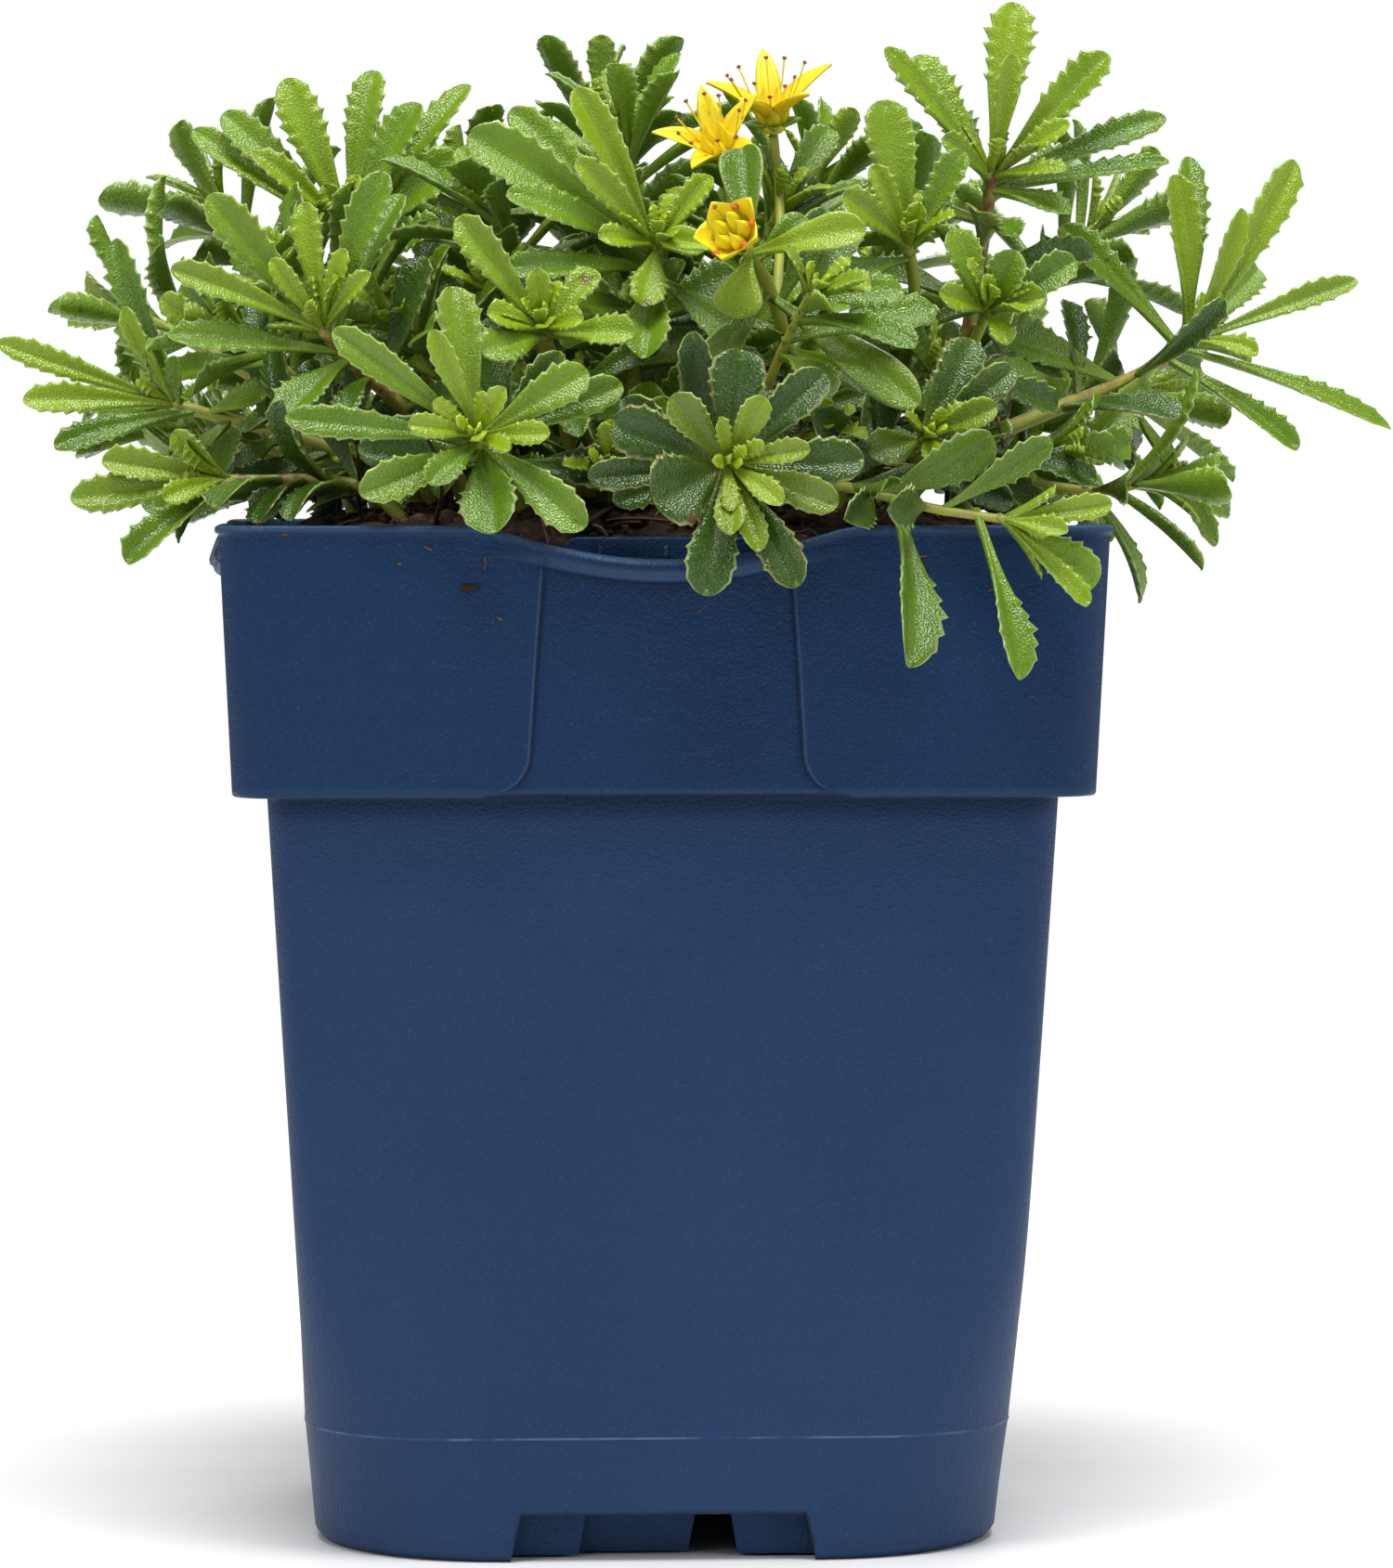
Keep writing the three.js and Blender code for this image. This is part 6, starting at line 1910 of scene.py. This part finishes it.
def leaf_material():
    n = Nodes("stonecrop_leaf")
    share, edge, under, young = n.marks("grow")
    tone, tint, other, _ = n.marks("tone")
    colours = LEAF_COLOURS
    green = n.mix(tone, colours["dark"], colours["bright"])
    green = n.lay(green, n.between(n.noise(230, 4), 0.4, 0.66), 0.35, colours["patch"])
    # A dark tint, age, low leaves and the painted shade of upright bracts darken the green.
    green = n.lay(green, tint, 0.88, colours["darkened"])
    green = n.lay(green, young, 0.95, colours["young"])
    green = n.lay(green, n.between(other, 0.988, 0.994), 0.7, colours["withered"])
    green = n.lay(green, n.between(share, 0.5, 0.0), 0.5, colours["foot"])
    grain = n.between(n.voronoi(4600), 0.05, 0.5)
    pale_dots = n.math("SUBTRACT", 1.0, grain)
    green = n.lay(green, pale_dots, n.between(tint, 1.0, 0.0, 0.16, 0.4), colours["stipple"])
    green = n.lay(green, under, 0.75, n.mix(0.5, green, colours["paler"]))
    margin = n.math("MULTIPLY", n.between(edge, 0.84, 0.98), n.between(share, 0.3, 0.6))
    green = n.lay(green, margin, 0.7, colours["margin"])
    darkened = n.between(n.math("ADD", tint, n.math("MULTIPLY", other, 0.5)), 0.75, 1.2)
    rubbed = n.between(n.noise(420, 2), 0.42, 0.6)
    brown = n.math("MULTIPLY", n.math("MULTIPLY", margin, darkened), rubbed)
    green = n.lay(green, brown, 0.8, colours["brown"])
    blotch = n.math("MULTIPLY", n.between(n.noise(330, 3), 0.64, 0.7), n.between(other, 0.86, 0.9))
    green = n.lay(green, blotch, 0.85, colours["blotch"])
    height = n.math("ADD", n.voronoi(4200), n.math("MULTIPLY", n.noise(900, 2), 0.5))
    rough = n.between(n.noise(700, 2), 0.3, 0.7, 0.15, 0.28)
    n.set(Specular_IOR_Level=0.5, Subsurface_Weight=0.12, Subsurface_Scale=0.0012)
    n.set(Subsurface_Radius=(0.5, 1.0, 0.15))
    return n.finish(green, rough, n.bump(height, 0.5, 0.00016))


def stem_material():
    n = Nodes("stonecrop_stem")
    share, _, _, _ = n.marks("grow")
    tone, redness, _, _ = n.marks("tone")
    green = n.mix(tone, (0.28, 0.35, 0.035), (0.42, 0.46, 0.06))
    green = n.lay(green, n.between(share, 0.45, 0.0), 0.5, (0.17, 0.16, 0.05))
    streak = n.between(n.noise(900, 3), 0.3, 0.75)
    towards_tip = n.between(share, 0.2, 0.85)
    red = n.math("MULTIPLY", towards_tip, redness)
    red = n.math("MULTIPLY", red, n.math("ADD", streak, 0.35), True)
    green = n.mix(red, green, (0.2, 0.07, 0.03))
    n.set(Roughness=0.45, Subsurface_Weight=0.1, Subsurface_Scale=0.001)
    return n.finish(green, None, n.bump(n.noise(2500, 3), 0.3, 0.0001))


def petal_material():
    n = Nodes("stonecrop_petal")
    share, _, _, plump = n.marks("grow")
    yellow = n.mix(n.between(share, 0.1, 0.9), (0.86, 0.62, 0.02), (0.9, 0.74, 0.015))
    yellow = n.lay(yellow, plump, 0.5, (0.66, 0.68, 0.03))
    yellow = n.lay(yellow, n.between(n.noise(900, 2), 0.4, 0.8), 0.25, (0.95, 0.55, 0.01))
    n.set(Roughness=0.4, Subsurface_Weight=0.15, Subsurface_Scale=0.001)
    return n.finish(yellow, None, n.bump(n.noise(3000, 2), 0.2, 0.0001))


def anther_material():
    n = Nodes("stonecrop_anther")
    _, _, _, faded = n.marks("grow")
    colour = n.mix(n.noise(2000, 2), (0.75, 0.1, 0.02), (0.55, 0.14, 0.03))
    colour = n.mix(n.math("MULTIPLY", faded, 2.2, True), colour, (0.2, 0.075, 0.02))
    n.set(Roughness=0.6)
    return n.finish(colour, None, n.bump(n.noise(6000, 2), 0.5, 0.0001))


def sepal_material():
    n = Nodes("stonecrop_sepal")
    colour = n.mix(n.noise(1200, 2), (0.14, 0.34, 0.04), (0.28, 0.48, 0.08))
    n.set(Roughness=0.42, Subsurface_Weight=0.1, Subsurface_Scale=0.001)
    return n.finish(colour, None, n.bump(n.voronoi(4200), 0.3, 0.0001))


SEAM_Z = 13

# The skirt's darker blue is painted shade of the leaves that hang over it; the seam's and the
# edges' paler blues are painted highlights, and the near black is painted shade in angles and under
# the hem.
POT_COLOURS = dict(
    dark=(0.0115, 0.036, 0.099), bright=(0.0155, 0.043, 0.113), skirt=(0.0055, 0.026, 0.076),
    glint=(0.06, 0.1, 0.19), dusty=(0.045, 0.075, 0.13), seam=(0.1, 0.16, 0.25),
    painted_highlight=(0.06, 0.105, 0.18), painted_shade=(0.002, 0.006, 0.018),
)


def pot_material():
    n = Nodes("pot_plastic")
    painted_highlight, painted_shade, _, _ = n.marks("grow")
    _, skirt, _, _ = n.marks("tone")
    colours = POT_COLOURS
    blue = n.mix(n.between(n.noise(22, 3), 0.3, 0.7), colours["dark"], colours["bright"])
    # The skirt is painted darker, as painted shade of the overhanging leaves.
    blue = n.lay(blue, skirt, 0.85, colours["skirt"])
    blue = n.lay(blue, n.between(n.noise(5600, 1), 0.6, 0.76), 0.4, colours["glint"])
    blue = n.lay(blue, n.between(n.noise(60, 5, 0.65), 0.6, 0.85), 0.12, colours["dusty"])
    # A thin painted highlight along the mould seam, broken here and there.
    apart = n.node("ShaderNodeSeparateXYZ")
    n.fill(apart, Vector=n.on_object())
    from_seam = n.math("ABSOLUTE", n.math("SUBTRACT", apart.outputs["Z"], SEAM_Z * MM))
    broken = n.between(n.noise(170, 3), 0.3, 0.6)
    seam = n.math("MULTIPLY", n.between(from_seam, 0.00016, 0.00006), broken)
    blue = n.lay(blue, seam, 0.75, colours["seam"])
    # Painted highlights on the beads, the hem, the rim, the lip's crest and the pocket's ribs.
    blue = n.lay(blue, painted_highlight, 0.6, colours["painted_highlight"])
    # Painted shade at the panels' feet, under the lip and under the hem.
    blue = n.lay(blue, painted_shade, 0.8, colours["painted_shade"])
    height = n.math("ADD", n.noise(2600, 2, 0.6), n.math("MULTIPLY", n.voronoi(3300), 0.6))
    rough = n.between(n.noise(40, 4), 0.3, 0.7, 0.36, 0.46)
    n.set(Specular_IOR_Level=0.13)
    return n.finish(blue, rough, n.bump(height, 0.5, 0.0002))


def soil_material():
    n = Nodes("potting_peat")
    tone, _, _, _ = n.marks("tone")
    brown = n.mix(tone, (0.012, 0.0075, 0.005), (0.05, 0.028, 0.016))
    brown = n.mix(n.between(n.noise(900, 4), 0.5, 0.8), brown, (0.09, 0.05, 0.028))
    n.set(Roughness=0.95, Specular_IOR_Level=0.2)
    return n.finish(brown, None, n.bump(n.noise(1500, 5, 0.7), 0.9, 0.0005))


def fibre_material():
    n = Nodes("peat_fibre")
    tone, _, _, _ = n.marks("tone")
    brown = n.mix(tone, (0.03, 0.015, 0.008), (0.13, 0.065, 0.03))
    brown = n.lay(brown, n.noise(1400, 3), 0.4, (0.03, 0.016, 0.01))
    n.set(Roughness=0.85)
    return n.finish(brown, None, n.bump(n.noise(5000, 3), 0.5, 0.0001))


def floor_material():
    n = Nodes("pale_floor")
    colour = n.mix(n.noise(4, 3), (0.86, 0.86, 0.86), (0.9, 0.9, 0.9))
    n.set(Roughness=0.6)
    return n.finish(colour)


# Camera, floor and lights.

PHOTO_HEIGHT = 1689
FOCAL_IN_PIXELS = 7211
SENSOR_HEIGHT = 36
CLIP_START = 0.01
VIEW_AZIMUTH = -2.48
VIEW_DISTANCE = 722.2
VIEW_HEIGHT = 112.8
AIM_HEIGHT = 78.7
AIM_RIGHT = 5.2


def make_camera():
    """The camera at the photograph's viewing angle, worked out from the pot's corners."""
    data = bpy.data.cameras.new("photo_camera")
    data.sensor_fit = "VERTICAL"
    data.sensor_height = SENSOR_HEIGHT
    data.lens = FOCAL_IN_PIXELS / PHOTO_HEIGHT * SENSOR_HEIGHT
    data.clip_start = CLIP_START
    camera = put("photo_camera", data)
    turn = math.radians(VIEW_AZIMUTH)
    right = (math.cos(turn), math.sin(turn), 0)
    place = (VIEW_DISTANCE * math.sin(turn), -VIEW_DISTANCE * math.cos(turn), VIEW_HEIGHT)
    aim = add(scaled(right, AIM_RIGHT), (0, 0, AIM_HEIGHT))
    ahead = unit(less(aim, place))
    across = unit(cross(ahead, (0, 0, 1)))
    up = cross(across, ahead)
    rows = [(across[k], up[k], -ahead[k], place[k] * MM) for k in range(3)]
    camera.matrix_world = Matrix(rows + [(0, 0, 0, 1)])
    bpy.context.scene.camera = camera


def area_light(name, place, width, height, power):
    """A soft light, turned towards the middle of the object."""
    data = bpy.data.lights.new(name, "AREA")
    data.shape = "RECTANGLE"
    data.size = width
    data.size_y = height
    data.energy = power
    lamp = put(name, data)
    lamp.location = place
    towards = Vector(LIT_POINT) - Vector(place)
    lamp.rotation_euler = towards.to_track_quat("-Z", "Y").to_euler()


# The studio, in metres and watts. Each light has a name, a place, a width, a height and a power.
FLOOR_RADIUS = 0.6
FLOOR_SIDES = 96
AMBIENT = 0.16

LIT_POINT = (0, 0, 0.1)
LIGHTS = (
    ("key_left", (-0.8, -0.8, 0.7), 0.45, 0.6, 4.2),
    ("fill_right", (0.9, -0.7, 0.45), 0.45, 0.7, 3),
    ("top", (0, -0.4, 1.55), 0.8, 0.8, 29),
    ("back", (0.2, 0.9, 0.7), 0.8, 0.5, 4),
    ("rim_left", (-0.95, 0.2, 0.3), 0.4, 0.8, 1),
    ("rim_right", (0.95, 0.2, 0.3), 0.4, 0.8, 1.4),
)


def make_studio():
    """A pale floor, a white background that the camera sees, and soft lights round the object."""
    mesh = bpy.data.meshes.new("floor")
    turns = [2 * math.pi * i / FLOOR_SIDES for i in range(FLOOR_SIDES)]
    rim = [(FLOOR_RADIUS * math.cos(a), FLOOR_RADIUS * math.sin(a), 0) for a in turns]
    mesh.from_pydata(rim, [], [tuple(range(FLOOR_SIDES))])
    mesh.materials.append(floor_material())
    put("floor", mesh)
    world = bpy.data.worlds.new("studio")
    world.use_nodes = True
    tree = world.node_tree
    ambient = tree.nodes["Background"]
    backdrop = tree.nodes.new("ShaderNodeBackground")
    for background in (ambient, backdrop):
        background.inputs["Color"].default_value = (1, 1, 1, 1)
    ambient.inputs["Strength"].default_value = AMBIENT
    ray = tree.nodes.new("ShaderNodeLightPath")
    chosen = tree.nodes.new("ShaderNodeMixShader")
    outputs = (ray.outputs["Is Camera Ray"], ambient.outputs[0], backdrop.outputs[0])
    for output, socket in zip(outputs, chosen.inputs):
        tree.links.new(output, socket)
    tree.links.new(chosen.outputs[0], tree.nodes["World Output"].inputs["Surface"])
    bpy.context.scene.world = world
    for light in LIGHTS:
        area_light(*light)
    bpy.context.scene.view_settings.view_transform = "Standard"


# Half the room kept in front of hearts, flowers and bracts, and how far it reaches forwards.
HEART_ROOM = (2.5, 10)
FLOWER_ROOM = (5, 16)
BRACT_ROOM = (3, 12)
FLOWER_SEED = 40


def grow_all():
    """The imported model's shoots first, then the finer leaves and shoots between them."""
    shoots = grow_plant()
    for shoot in shoots:
        if "leaves" in shoot:
            keep_clear(shoot["apex"], *HEART_ROOM, shoot["name"])
    for flower in FLOWERS:
        keep_clear(flower["seat"], *FLOWER_ROOM, flower["name"])
    for right, back, up, _, below in FLOWER_SHOOT["leaves"]:
        if below < BRACTS_FROM_TIP:
            bract = along(FLOWER_SHOOT["apex"], (right, back, up), 0.75)
            keep_clear(bract, *BRACT_ROOM, FLOWER_SHOOT["name"])
    for shoot in shoots:
        grow_under_leaves(shoot)
    return shoots + grow_side_shoots(shoots)


def main():
    make_camera()
    make_studio()
    leaf, stem = leaf_material(), stem_material()
    for shoot in grow_all():
        make_shoot(shoot, [leaf, stem])
    petals = [petal_material(), anther_material(), sepal_material()]
    for index, flower in enumerate(FLOWERS):
        make_flower(flower, petals, FLOWER_SEED + index)
    make_pot(pot_material())
    ground = [soil_material(), fibre_material()]
    make_soil(ground)
    make_specks(ground)


main()
